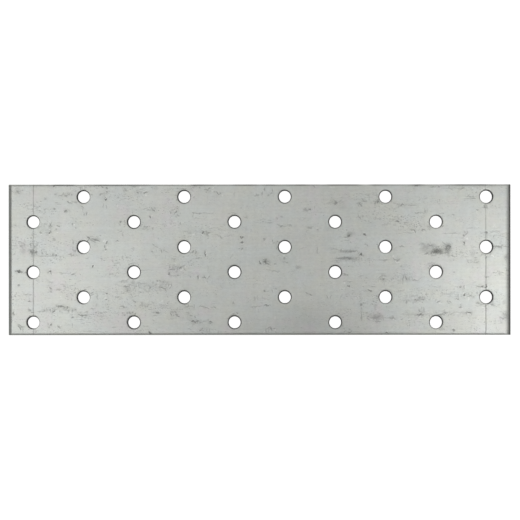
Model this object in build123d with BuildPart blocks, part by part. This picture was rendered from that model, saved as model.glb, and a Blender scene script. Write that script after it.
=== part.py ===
"""Perforated mending plate: a flat rectangle of galvanised steel sheet with a staggered field of round nail holes.

It is nailed across a butt joint between two timbers, half of the holes in each. The plate is one blank, punched and
sheared from strip, so it is a single solid. The face seen from above is the side that the punches entered: every rim
and edge is rolled over there, and each cut opens out slightly towards the back, where the metal tore.

Frame: X along the length, Y across the width, Z up out of the front face. The origin is at the middle of the back
face, which is the face that lies on the timber. All sizes are in millimetres.
"""

import os

from build123d import *

# Blank
length = 200.0
width = 60.0
thickness = 2.0

# Hole field: columns 20 apart, three holes in each 20 apart, every other column moved up half a step
hole_diameter = 5.0
column_pitch = 20.0
hole_step = 20.0
columns = 10
holes_in_column = 3
low_middle_y = -5.0  # middle hole of the first, third, fifth... column
high_middle_y = 5.0  # middle hole of the second, fourth, sixth... column

# Punched holes: rolled rim on the front, straight land, then the torn part opening towards the back
rim_roll = 0.30
tear_out = 0.10
tear_height = 0.70

# Cut edges: each is rolled down over a width and a depth on the front, stands straight below that, then leans in
side_roll_width = 0.85  # slit long sides
side_roll_depth = 0.30
left_roll_width = 1.25  # end sheared against the die: short, firm roll
left_roll_depth = 0.38
right_roll_width = 2.40  # parted end: long, soft roll
right_roll_depth = 0.42
edge_land_bottom = 0.80  # where the straight part of a cut edge ends
edge_lean = 0.12

half_l = length / 2
half_w = width / 2

even_columns = [i for i in range(columns) if i % 2 == 0]
odd_columns = [i for i in range(columns) if i % 2 == 1]
first_x = -column_pitch * (columns - 1) / 2
hole_centres = []
for i in range(columns):
    middle = low_middle_y if i % 2 == 0 else high_middle_y
    for k in range(holes_in_column):
        hole_centres.append((first_x + i * column_pitch, middle + (1 - k) * hole_step))

with BuildPart() as mending_plate:
    # Lengthwise section: left end, front face, right end, back face
    with BuildSketch(Plane.XZ) as lengthwise:
        with BuildLine():
            Line((-half_l + edge_lean, 0), (-half_l, edge_land_bottom))
            Line((-half_l, edge_land_bottom), (-half_l, thickness - left_roll_depth))
            EllipticalCenterArc(
                (-half_l + left_roll_width, thickness - left_roll_depth),
                left_roll_width,
                left_roll_depth,
                start_angle=90,
                arc_size=90,
            )
            Line((-half_l + left_roll_width, thickness), (half_l - right_roll_width, thickness))
            EllipticalCenterArc(
                (half_l - right_roll_width, thickness - right_roll_depth),
                right_roll_width,
                right_roll_depth,
                start_angle=0,
                arc_size=90,
            )
            Line((half_l, thickness - right_roll_depth), (half_l, edge_land_bottom))
            Line((half_l, edge_land_bottom), (half_l - edge_lean, 0))
            Line((half_l - edge_lean, 0), (-half_l + edge_lean, 0))
        make_face()
    extrude(amount=half_w + 5, both=True)

    # Crosswise section, kept in common with the first: the two slit sides
    with BuildSketch(Plane.YZ) as crosswise:
        with BuildLine():
            Line((-half_w + edge_lean, 0), (-half_w, edge_land_bottom))
            Line((-half_w, edge_land_bottom), (-half_w, thickness - side_roll_depth))
            EllipticalCenterArc(
                (-half_w + side_roll_width, thickness - side_roll_depth),
                side_roll_width,
                side_roll_depth,
                start_angle=90,
                arc_size=90,
            )
            Line((-half_w + side_roll_width, thickness), (half_w - side_roll_width, thickness))
            EllipticalCenterArc(
                (half_w - side_roll_width, thickness - side_roll_depth),
                side_roll_width,
                side_roll_depth,
                start_angle=0,
                arc_size=90,
            )
            Line((half_w, thickness - side_roll_depth), (half_w, edge_land_bottom))
            Line((half_w, edge_land_bottom), (half_w - edge_lean, 0))
            Line((half_w - edge_lean, 0), (-half_w + edge_lean, 0))
        make_face()
    extrude(amount=half_l + 5, both=True, mode=Mode.INTERSECT)

    # Nail holes
    with Locations(*[(x, y, thickness) for x, y in hole_centres]):
        Hole(radius=hole_diameter / 2)
    rims = mending_plate.edges().filter_by(GeomType.CIRCLE)
    front_rims = rims.filter_by_position(Axis.Z, thickness - 0.01, thickness + 0.01)
    fillet(front_rims, radius=rim_roll)
    rims = mending_plate.edges().filter_by(GeomType.CIRCLE)
    back_rims = rims.filter_by_position(Axis.Z, -0.01, 0.01)
    back_face = mending_plate.faces().sort_by(Axis.Z)[0]
    chamfer(back_rims, length=tear_out, length2=tear_height, reference=back_face)

mending_plate.part.label = "mending_plate"

os.makedirs("parts", exist_ok=True)
export_step(mending_plate.part, "parts/mending_plate.step")

solid = mending_plate.part
print("holes", len(hole_centres))
print("volume_mm3", round(solid.volume, 1), "valid", solid.is_valid, "solids", len(solid.solids()))
print("box", solid.bounding_box().min, solid.bounding_box().max)
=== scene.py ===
"""Looks of the perforated mending plate: sheared and punched galvanised sheet, lying on its back face.

Everything is in metres in the model's own frame: X along the plate, Y across it, Z up out of the front face, with the
origin in the middle of the back face. Lengths in the mesh code are in millimetres until the mesh is written.
"""

import math

import bpy
import numpy as np
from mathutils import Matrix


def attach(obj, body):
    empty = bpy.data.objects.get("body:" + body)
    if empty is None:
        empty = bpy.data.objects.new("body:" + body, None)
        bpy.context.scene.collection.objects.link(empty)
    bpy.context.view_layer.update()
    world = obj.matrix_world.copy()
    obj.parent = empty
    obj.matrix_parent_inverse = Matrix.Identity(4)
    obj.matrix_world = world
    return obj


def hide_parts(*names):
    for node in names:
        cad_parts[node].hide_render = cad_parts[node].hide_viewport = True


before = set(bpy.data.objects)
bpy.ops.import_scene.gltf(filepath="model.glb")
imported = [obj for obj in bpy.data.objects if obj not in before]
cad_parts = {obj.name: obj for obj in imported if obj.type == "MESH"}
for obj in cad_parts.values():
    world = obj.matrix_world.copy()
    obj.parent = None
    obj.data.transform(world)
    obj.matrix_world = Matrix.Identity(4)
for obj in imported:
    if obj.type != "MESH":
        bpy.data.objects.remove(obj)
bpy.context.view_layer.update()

MM = 0.001

# ---------------------------------------------------------------- the plate's dimensions, mm
HALF_L, HALF_W, THICK = 100.0, 30.0, 2.0
HOLE_R = 2.45  # at the burnished land; the opening flares to the die's size at the back
PATCH = 4.0  # half the side of the square of mesh that each hole sits in
STEP_X, STEP_Y = 0.5, 0.5  # front face
STEP_BACK = 2.0
LAND_LOW = 0.80  # the straight part of a cut edge ends here, above it the edge is burnished, below it torn
HOLE_LAND_LOW = 1.15
LEAN = 0.12
TEAR_OUT = 0.20
GROOVES = (-90.0, 90.0)  # two scribed lines across the plate, through the end columns of holes
GROOVE_OFFSETS = (-0.13, -0.05, 0.05, 0.13)
GROOVE_DEPTH = 0.022

HOLES = []
for i in range(10):
    middle = -5.0 if i % 2 == 0 else 5.0
    for k in range(3):
        HOLES.append((-90.0 + 20.0 * i, middle + 20.0 * (1 - k)))

# Rolled-down edges of the front face: (distance in from the edge, drop below the face). Each ends on a step of the grid,
# so that the hole squares' sides stay on grid lines.
ROLL_LEFT = [(0.0, 0.47), (0.02, 0.42), (0.06, 0.38), (0.14, 0.33), (0.3, 0.275), (0.58, 0.195), (0.86, 0.12), (1.08, 0.062), (1.24, 0.027), (1.4, 0.010), (1.6, 0.002), (2.0, 0.0)]
ROLL_RIGHT = [(0.0, 0.60), (0.02, 0.555), (0.08, 0.485), (0.18, 0.405), (0.34, 0.322), (0.58, 0.234), (0.85, 0.162), (1.15, 0.104), (1.55, 0.050), (2.05, 0.014), (2.5, 0.0)]
ROLL_SIDE = [(0.0, 0.32), (0.015, 0.28), (0.05, 0.235), (0.12, 0.18), (0.24, 0.115), (0.4, 0.06), (0.6, 0.02), (0.8, 0.004), (1.0, 0.0)]
# Rolled-down rim of a hole: (distance out from the wall, drop below the face)
RIM = [(0.90, 0.0), (0.70, 0.006), (0.52, 0.020), (0.38, 0.043), (0.26, 0.078), (0.16, 0.122), (0.08, 0.180), (0.03, 0.240), (0.0, 0.300)]
# One row for each column of holes. Painted shade lies darkest on one side of each rim, the outer side near the left
# end, the upper side in the middle, the right side near the right end: turn of that side from +X in degrees, strength
# there, strength opposite. Then how far the punch ran off centre along X and Y, and how much smaller the land came out,
# mm.
COLUMNS = [
    (160, 1.00, 0.02, -0.03, 0.04, -0.11), (152, 1.00, 0.06, 0.00, 0.02, -0.10), (160, 1.00, 0.54, 0.03, 0.06, -0.10),
    (140, 1.00, 0.30, 0.03, 0.04, -0.09), (112, 1.00, 0.52, 0.04, 0.07, -0.10), (118, 1.00, 0.40, 0.06, 0.07, -0.09),
    (96, 1.00, 0.47, 0.09, 0.06, -0.09), (84, 0.90, 0.28, 0.11, 0.05, -0.07), (82, 0.78, 0.26, 0.20, 0.04, -0.03),
    (48, 0.94, 0.20, 0.18, 0.02, -0.01),
]


# ---------------------------------------------------------------- smooth repeatable noise for the mesh
def hash01(ix, iy, seed):
    h = (ix.astype(np.int64) * 374761393 + iy.astype(np.int64) * 668265263 + seed * 1442695041) & 0xFFFFFFFF
    h = ((h ^ (h >> 13)) * 1274126177) & 0xFFFFFFFF
    return ((h ^ (h >> 16)) & 0xFFFFFF) / float(0xFFFFFF)


def soft_noise(x, y, seed):
    """Smooth noise from -1 to 1 with a period of about one unit."""
    x, y = np.asarray(x, float), np.asarray(y, float)
    ix, iy = np.floor(x), np.floor(y)
    fx, fy = x - ix, y - iy
    fx, fy = fx * fx * (3 - 2 * fx), fy * fy * (3 - 2 * fy)
    a, b = hash01(ix, iy, seed), hash01(ix + 1, iy, seed)
    c, d = hash01(ix, iy + 1, seed), hash01(ix + 1, iy + 1, seed)
    return 2 * (a + (b - a) * fx + (c - a) * fy + (a - b - c + d) * fx * fy) - 1


# ---------------------------------------------------------------- the height of the front face
def drop(profile, s):
    return np.interp(s, [p[0] for p in profile], [p[1] for p in profile])


def front_z(x, y):
    """Height of the front face, mm: flat, rolled down at the four cut edges."""
    left, right = x + HALF_L, HALF_L - x
    down, up = y + HALF_W, HALF_W - y
    wl = 1 + 0.07 * soft_noise(y / 6, 3.3, 1)
    wr = 1 + 0.08 * soft_noise(y / 5, 7.3, 2)
    ws = 1 + 0.10 * soft_noise(x / 7, 1.3, 3)
    wt = 1 + 0.12 * soft_noise(x / 6, 5.3, 4)
    a = drop(ROLL_LEFT, left / wl)
    b = drop(ROLL_RIGHT, right / wr)
    c = drop(ROLL_SIDE, down / ws)
    d = drop(ROLL_SIDE, up / wt)
    ends, sides = np.maximum(a, b), np.maximum(c, d)
    both = np.maximum(ends, sides)
    both = both + 0.25 * np.minimum(ends, sides)  # a corner is rolled from both ways
    return THICK - np.minimum(both, 0.62)


# ---------------------------------------------------------------- grid lines
def lines(low_roll, high_roll, half, step):
    first = [-half + s for s, _ in low_roll]
    last = [half - s for s, _ in high_roll][::-1]
    count = int(round((last[0] - first[-1]) / step))
    middle = [first[-1] + step * n for n in range(1, count)]
    return first + middle + last


def merge_lines(values, extra):
    out = sorted(set([round(v, 4) for v in values] + [round(v, 4) for v in extra]))
    return np.array(out)


front_x = merge_lines(lines(ROLL_LEFT, ROLL_RIGHT, HALF_L, STEP_X), [g + o for g in GROOVES for o in GROOVE_OFFSETS])
front_y = merge_lines(lines(ROLL_SIDE, ROLL_SIDE, HALF_W, STEP_Y), [])
back_x = merge_lines([-HALF_L + 1, HALF_L - 1], list(np.arange(-HALF_L + STEP_BACK, HALF_L - 0.5, STEP_BACK)))
back_y = merge_lines([-HALF_W + 1, HALF_W - 1], list(np.arange(-HALF_W + 3, HALF_W - 2, STEP_BACK)))


class Builder:
    def __init__(self):
        self.co, self.faces, self.uv = [], [], []
        self.cut, self.torn, self.scribe = [], [], []

    def add(self, x, y, z, cut=0.0, torn=0.0, scribe=0.0):
        """Adds points and returns their numbers, as an array of the same shape."""
        x, y, z, cut, torn, scribe = np.broadcast_arrays(x, y, z, cut, torn, scribe)
        first = sum(len(c) for c in self.co)
        self.co.append(np.stack([x.ravel(), y.ravel(), z.ravel()], 1))
        self.cut.append(cut.ravel())
        self.torn.append(torn.ravel())
        self.scribe.append(scribe.ravel())
        return (first + np.arange(x.size)).reshape(x.shape)

    def quads(self, a, b, c, d, uv=None):
        f = np.stack([a.ravel(), b.ravel(), c.ravel(), d.ravel()], 1)
        self.faces.append(f)
        self.uv.append(uv)

    def tris(self, rows):
        f = np.array(rows, int).reshape(-1, 3)
        self.faces.append(np.concatenate([f, -np.ones((len(f), 1), int)], 1))
        self.uv.append(None)


b = Builder()


def in_patch(xm, ym):
    inside = np.zeros(np.broadcast(xm, ym).shape, bool)
    for hx, hy in HOLES:
        inside |= (np.abs(xm - hx) < PATCH) & (np.abs(ym - hy) < PATCH)
    return inside


def face_grid(xs, ys, z_of, up, scribe_of):
    """A rectangular grid with the hole squares left out. Returns the table of point numbers."""
    X, Y = np.meshgrid(xs, ys, indexing="ij")
    used = ~in_patch(X, Y)
    # the points on a hole square's outline stay, those inside it go
    number = -np.ones(X.shape, int)
    number[used] = b.add(X[used], Y[used], z_of(X[used], Y[used]), cut=edge_darkening(X[used], Y[used]) if up else 0.0, scribe=scribe_of(X[used]))
    xm, ym = (xs[:-1] + xs[1:]) / 2, (ys[:-1] + ys[1:]) / 2
    XM, YM = np.meshgrid(xm, ym, indexing="ij")
    keep = ~in_patch(XM, YM)
    p, q, r, s = number[:-1, :-1], number[1:, :-1], number[1:, 1:], number[:-1, 1:]
    if up:
        b.quads(p[keep], q[keep], r[keep], s[keep])
    else:
        b.quads(p[keep], s[keep], r[keep], q[keep])
    return number


def edge_darkening(x, y):
    """How far the band along each cut edge is darkened toward the rims' dark colour, by a different amount on each
    side, up to 0.5 at the cut.
    """
    left = 0.23 * np.clip((1.30 - (x + HALF_L)) / 0.15, 0, 1)
    right = 0.46 * np.clip(1 - (HALF_L - x) / 2.6, 0, 1) ** 1.4
    low = 0.20 * np.clip(1 - (y + HALF_W) / 0.7, 0, 1)
    high = np.clip(0.27 + 0.17 * soft_noise(x / 4.2, 9.7, 31), 0.0, 0.5) * np.clip(1.2 - (HALF_W - y) / 0.75, 0, 1)
    return np.maximum(np.maximum(left, right), np.maximum(low, high))


def groove_drop(x):
    out = np.zeros(np.shape(x))
    for g in GROOVES:
        out = np.maximum(out, np.interp(np.abs(x - g), [0.0, 0.05, 0.13], [1.0, 1.0, 0.0]))
    return out


def patch_loop(xs, ys, number, hx, hy):
    """Point numbers and positions round a hole's square, counter-clockwise from its lower left corner."""
    i0, i1 = np.searchsorted(xs, [hx - PATCH - 1e-6, hx + PATCH - 1e-6])
    j0, j1 = np.searchsorted(ys, [hy - PATCH - 1e-6, hy + PATCH - 1e-6])
    ij = [(i, j0) for i in range(i0, i1)] + [(i1, j) for j in range(j0, j1)]
    ij += [(i, j1) for i in range(i1, i0, -1)] + [(i0, j) for j in range(j1, j0, -1)]
    return np.array([number[i, j] for i, j in ij]), np.array([(xs[i] - hx, ys[j] - hy) for i, j in ij])


def unit_circle(loop):
    """The direction on the hole's rim that each point of its square is joined to."""
    x, y = loop[:, 0], loop[:, 1]
    on_side = np.abs(np.abs(x) - PATCH) < 1e-6
    turn_y = np.where(on_side, y / PATCH * math.pi / 4, 0)
    turn_x = np.where(on_side, 0, x / PATCH * math.pi / 4)
    cx = np.where(on_side, np.sign(x) * np.cos(turn_y), np.sin(turn_x))
    cy = np.where(on_side, np.sin(turn_y), np.sign(y) * np.cos(turn_x))
    return cx, cy, ~on_side


def ring_faces(outer, inner, flip=False):
    n = np.roll(outer, -1), np.roll(inner, -1)
    if flip:
        b.quads(outer, inner, n[1], n[0])
    else:
        b.quads(outer, n[0], n[1], inner)


def zip_loops(outer, outer_at, inner, inner_at, up):
    """Triangles between two closed loops with different numbers of points. outer_at and inner_at rise from 0 to 1 round each loop."""
    i = j = 0
    n, m = len(outer), len(inner)
    rows = []
    while i < n or j < m:
        next_o = outer_at[i + 1] if i + 1 < n else 1.0
        next_i = inner_at[j + 1] if j + 1 < m else 1.0
        if j >= m or (i < n and next_o <= next_i):
            rows.append((outer[i % n], outer[(i + 1) % n], inner[j % m]))
            i += 1
        else:
            rows.append((outer[i % n], inner[(j + 1) % m], inner[j % m]))
            j += 1
    if not up:
        rows = [r[::-1] for r in rows]
    b.tris(rows)


front_scribe = lambda x: groove_drop(x)
grid_z = lambda x, y: front_z(x, y) - GROOVE_DEPTH * groove_drop(x)
front = face_grid(front_x, front_y, grid_z, True, front_scribe)
back = face_grid(back_x, back_y, lambda x, y: np.zeros(np.shape(x)), False, lambda x: np.zeros(np.shape(x)))

hole_walls = []  # one list of rings for each hole
for index, (hx, hy) in enumerate(HOLES):
    turn, much, little, off_x, off_y, smaller = COLUMNS[index // 3]
    hole_r = HOLE_R + smaller
    loop, at = patch_loop(front_x, front_y, front, hx, hy)
    cx, cy, across = unit_circle(at)
    lined = across & any(abs(g - hx) < 0.5 for g in GROOVES)  # a scribed line crosses this hole: its points stay in line
    near = lined & (np.abs(at[:, 0]) < 0.2)
    slide = np.where(lined, off_x * np.clip(1.1 - np.abs(at[:, 0]) / 2, 0, 1), 0)
    angle = np.arctan2(cy, cx)
    lean = 1 + 0.10 * float(soft_noise(index * 3.7, 0.5, 11))
    # painted shade: how near each point of the rim is to its shaded side, the side that COLUMNS names
    shaded_side = 0.5 + 0.5 * np.cos(angle - math.radians(turn))
    shaded_side = np.clip(shaded_side + 0.12 * soft_noise(7.7 + np.cos(angle) * 1.6 + index * 5, np.sin(angle) * 1.6, 16), 0, 1)
    shade_strength = little + (much - little) * shaded_side**0.85
    grow = lean * (0.62 + 0.52 * shaded_side) * (1 + 0.06 * soft_noise(2.2 + np.cos(angle) * 1.3 + index * 9, np.sin(angle) * 1.3, 12))

    def around(radius):
        x, y = off_x + cx * radius - slide, off_y + cy * radius
        x = np.where(near, at[:, 0], x)
        y = np.where(lined, off_y + np.sign(cy) * np.sqrt(np.maximum(radius**2 - (x - off_x) ** 2, 0)), y)
        return x, y

    rings = [loop]
    outer_r = hole_r + RIM[0][0] * grow
    ox, oy = around(outer_r)
    for t in (0.70, 0.35):
        x, y = ox + (at[:, 0] - ox) * t, oy + (at[:, 1] - oy) * t
        groove = groove_drop(hx + x)
        rings.append(b.add(hx + x, hy + y, front_z(hx + x, hy + y) - GROOVE_DEPTH * groove, scribe=groove))
    for s, fall in RIM:
        x, y = around(hole_r + s * grow)
        groove = groove_drop(hx + x) * np.clip(s / 0.7, 0, 1)
        # painted shade on the rolled rim, darkest next to the wall and on the shaded side, stored in the cut attribute
        rim_shade_amount = shade_strength * (0.31 * np.clip(1 - s * grow / 0.85, 0, 1) + 0.66 * np.clip((0.50 - s * grow) / 0.30, 0, 1))
        rings.append(b.add(hx + x, hy + y, THICK - fall * grow - GROOVE_DEPTH * groove, cut=np.clip(rim_shade_amount, 0, 1), scribe=groove))
    x, y = around(hole_r + 0.002)
    rings.append(b.add(hx + x, hy + y, 1.5, cut=1.0))
    x, y = around(np.full(len(cx), hole_r + 0.006))
    rings.append(b.add(hx + x, hy + y, HOLE_LAND_LOW + 0.08 * soft_noise(angle * 2.5, index * 5.1, 13), cut=1.0, torn=0.5))
    rough = 0.03 * (1 + soft_noise(angle * 7, index * 3.3, 14))
    x, y = around(hole_r + 0.10 + rough * 0.6)
    rings.append(b.add(hx + x, hy + y, 0.55, cut=1.0, torn=1.0))
    rough = 0.02 * (1 + soft_noise(angle * 6, index * 4.3, 15))
    x, y = around(hole_r + TEAR_OUT - 0.02 + rough)
    rings.append(b.add(hx + x, hy + y, 0.0, cut=0.8, torn=1.0))
    for outer, inner in zip(rings, rings[1:]):
        ring_faces(outer, inner)
    # back face
    loop_b, at_b = patch_loop(back_x, back_y, back, hx, hy)
    bx, by, _ = unit_circle(at_b)
    ring_b = b.add(hx + bx * 3.05, hy + by * 3.05, 0.0)
    ring_faces(loop_b, ring_b, flip=True)
    rim_at = (np.arctan2(cy, cx) + 0.75 * math.pi + 1e-9) % (2 * math.pi) / (2 * math.pi)
    back_at = (np.arctan2(by, bx) + 0.75 * math.pi + 1e-9) % (2 * math.pi) / (2 * math.pi)
    zip_loops(ring_b, back_at, rings[-1], rim_at, up=False)
    hole_walls.append(rings)


def outline(number):
    return np.concatenate([number[:-1, 0], number[-1, :-1], number[:0:-1, -1], number[0, :0:-1]])


# outer cut edges, down from the front outline to the back face
top = outline(front)
points = np.concatenate(b.co)
px, py = points[top, 0], points[top, 1]
on_end, on_side = np.abs(np.abs(px) - HALF_L) < 1e-6, np.abs(np.abs(py) - HALF_W) < 1e-6
run = px * 0.7 + py * 1.3 + 40 * on_end
wall = [top]
for z, lean, torn, grain in ((1.30, 0.0, 0.0, 0.004), (LAND_LOW, 0.0, 0.45, 0.010), (0.50, 0.45, 1.0, 0.035), (0.22, 0.8, 1.0, 0.035), (0.0, 1.0, 1.0, 0.02)):
    rough = grain * (1 + soft_noise(run * 1.7, z * 9, 21)) * 0.6 + grain * (1 + soft_noise(run * 0.6, z * 5, 22)) * 0.4
    inset = LEAN * lean + rough
    level = z + (0.10 * soft_noise(run * 0.35, 2.2, 23) if z == LAND_LOW else 0.0)
    x = px - np.sign(px) * inset * on_end
    y = py - np.sign(py) * inset * on_side
    wall.append(b.add(x, y, level, cut=1.0, torn=torn))
for upper, lower in zip(wall, wall[1:]):
    n = np.roll(upper, -1), np.roll(lower, -1)
    b.quads(upper, lower, n[1], n[0])
base = outline(back)
points = np.concatenate(b.co)


def round_share(p):
    """How far round a rectangle's outline a point is, from its lower left corner, by sides."""
    hx, hy = np.abs(p[:, 0]).max(), np.abs(p[:, 1]).max()
    x, y = p[:, 0] / hx, p[:, 1] / hy
    e = 1e-6
    side = np.where(y <= -1 + 0.001, 0 + (x + 1) / 2, np.where(x >= 1 - 0.001, 1 + (y + 1) / 2, np.where(y >= 1 - 0.001, 2 + (1 - x) / 2, 3 + (1 - y) / 2)))
    return side / 4


count = len(front_x) - 1, len(front_y) - 1, len(back_x) - 1, len(back_y) - 1


def side_share(nx, ny, xs, ys):
    """The same share for an outline made by outline(), from its grid lines."""
    fx, fy = (xs - xs[0]) / (xs[-1] - xs[0]), (ys - ys[0]) / (ys[-1] - ys[0])
    return np.concatenate([fx[:-1], 1 + fy[:-1], 2 + (1 - fx[:0:-1]), 3 + (1 - fy[:0:-1])]) / 4


# the outline runs counter-clockwise seen from above; on the back face the outer loop is the wall's last ring
zip_loops(wall[-1], side_share(*count[:2], front_x, front_y), base, side_share(*count[2:], back_x, back_y), up=False)

co = np.concatenate(b.co)
faces = np.concatenate(b.faces)
cut, torn, scribe = (np.concatenate(v) for v in (b.cut, b.torn, b.scribe))
print("points", len(co), "faces", len(faces), "triangles", int((faces[:, 3] >= 0).sum() * 2 + (faces[:, 3] < 0).sum()))

# ---------------------------------------------------------------- marks on the front face, mm
# Placed one by one, each a simple shape: dirt, scuffs and spots left in the zinc by coiling, stacking and handling.
# SMUDGES and SCRIBBLES: middle x, y, half length, half height, strength. STREAKS: x0, y0, x1, y1, strength, width.
# SPECKS and BRIGHT (pale spots beside the marks, painted highlights): x, y, strength, radius.
SMUDGES = [
    (-96.67, 27.53, 1.39, 1.39, 0.18), (-94.1, 3.64, 1.17, 1.39, 0.2), (-90.06, 3.05, 1.75, 1.59, 0.26),
    (-66.61, 8.22, 1.79, 1.19, 0.16), (-25.01, 2.65, 0.8, 1.19, 0.14), (-50.49, -9, 0.8, 0.9, 0.26),
    (-28.2, -22.43, 1.19, 1.59, 0.1), (2.26, -0.5, 1.15, 1, 0.38), (15.47, -2.97, 1.07, 0.68, 0.3),
    (32.71, 21.76, 1.59, 1.99, 0.12), (46.48, 22.99, 1.19, 0.84, 0.2), (27.14, 12.2, 1.59, 0.8, 0.12),
    (36.69, 10.53, 1.59, 1.11, 0.16), (34.7, 0.42, 3.98, 0.8, 0.14), (33.71, 3.56, 4.98, 0.76, 0.12),
    (54.61, 0.02, 1.43, 0.8, 0.14), (47.04, -14.75, 0.64, 0.92, 0.2), (46.15, -22.43, 3.28, 1.39, 0.2),
    (67.54, 13.2, 1, 1, 0.2), (66.07, 4.44, 2.07, 1.55, 0.3), (70.65, 3.48, 2.51, 1.31, 0.72),
    (74.75, 4.4, 1.51, 2.15, 0.55), (85.04, 2.45, 1.17, 1.39, 0.16), (98.08, 0.86, 0.96, 1.23, 0.26),
    (68.64, -1.93, 1.89, 1.19, 0.14), (97.42, -16.98, 0.82, 1.07, 0.16), (97.8, -22.19, 1.23, 1.91, 0.24),
    (84.86, -0.74, 2.39, 1, 0.1), (35, 3.28, 3.88, 0.56, 0.42), (34.6, 0.46, 4.28, 0.6, 0.5),
    (-65.32, 7.98, 1.89, 0.72, 0.34), (-90.2, 3.07, 1.49, 1.05, 0.42), (-94.26, 5.71, 1.02, 0.92, 0.26),
    (46.45, -22.75, 2.39, 1.11, 0.42), (52.81, -23.15, 1.39, 0.72, 0.3), (58.19, -7.38, 1.79, 1.04, 0.28),
    (-52.48, -11.29, 1.59, 1.19, 0.25), (2.66, -1, 1.79, 1.05, 0.4), (35.6, 9.95, 0.9, 0.86, 0.5),
    (63.46, -21.99, 1.69, 0.36, 0.4), (68.34, 5.73, 1.79, 0.7, 0.4),
]
SCRIBBLES = [
    (-33.17, -3.72, 2.99, 1.99, 0.3), (-45.31, -10.79, 8.76, 2.49, 0.22), (-44.92, -17.06, 5.18, 1.39, 0.22),
    (-33.57, 19.27, 1.99, 2.09, 0.22), (-24.22, 11.01, 5.18, 1.59, 0.18), (-24.22, -24.62, 5.18, 1.19, 0.22),
    (60.78, -15.47, 4.98, 1.79, 0.2), (70.33, -21.24, 13.34, 1.19, 0.18), (53.41, -7.5, 7.17, 1.79, 0.2),
    (30.32, 22.95, 3.18, 1.19, 0.2), (-79.95, -19.84, 7.56, 1.39, 0.2), (-76.76, 26.13, 4.38, 1.19, 0.2),
    (-84.13, 12.6, 3.78, 2.39, 0.18), (90.23, -17.66, 4.18, 1.19, 0.2), (33.51, 2.05, 5.57, 2.99, 0.16),
    (66.15, 4.84, 2.39, 2.59, 0.3), (70.43, 3.84, 2.69, 1.59, 0.75), (74.61, 4.54, 1.49, 2.09, 0.65),
    (66.15, 4.44, 1.99, 1.99, 0.45), (-90.1, 3.05, 1.79, 1.59, 0.45), (46.25, -22.53, 3.18, 1.49, 0.4),
]
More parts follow.
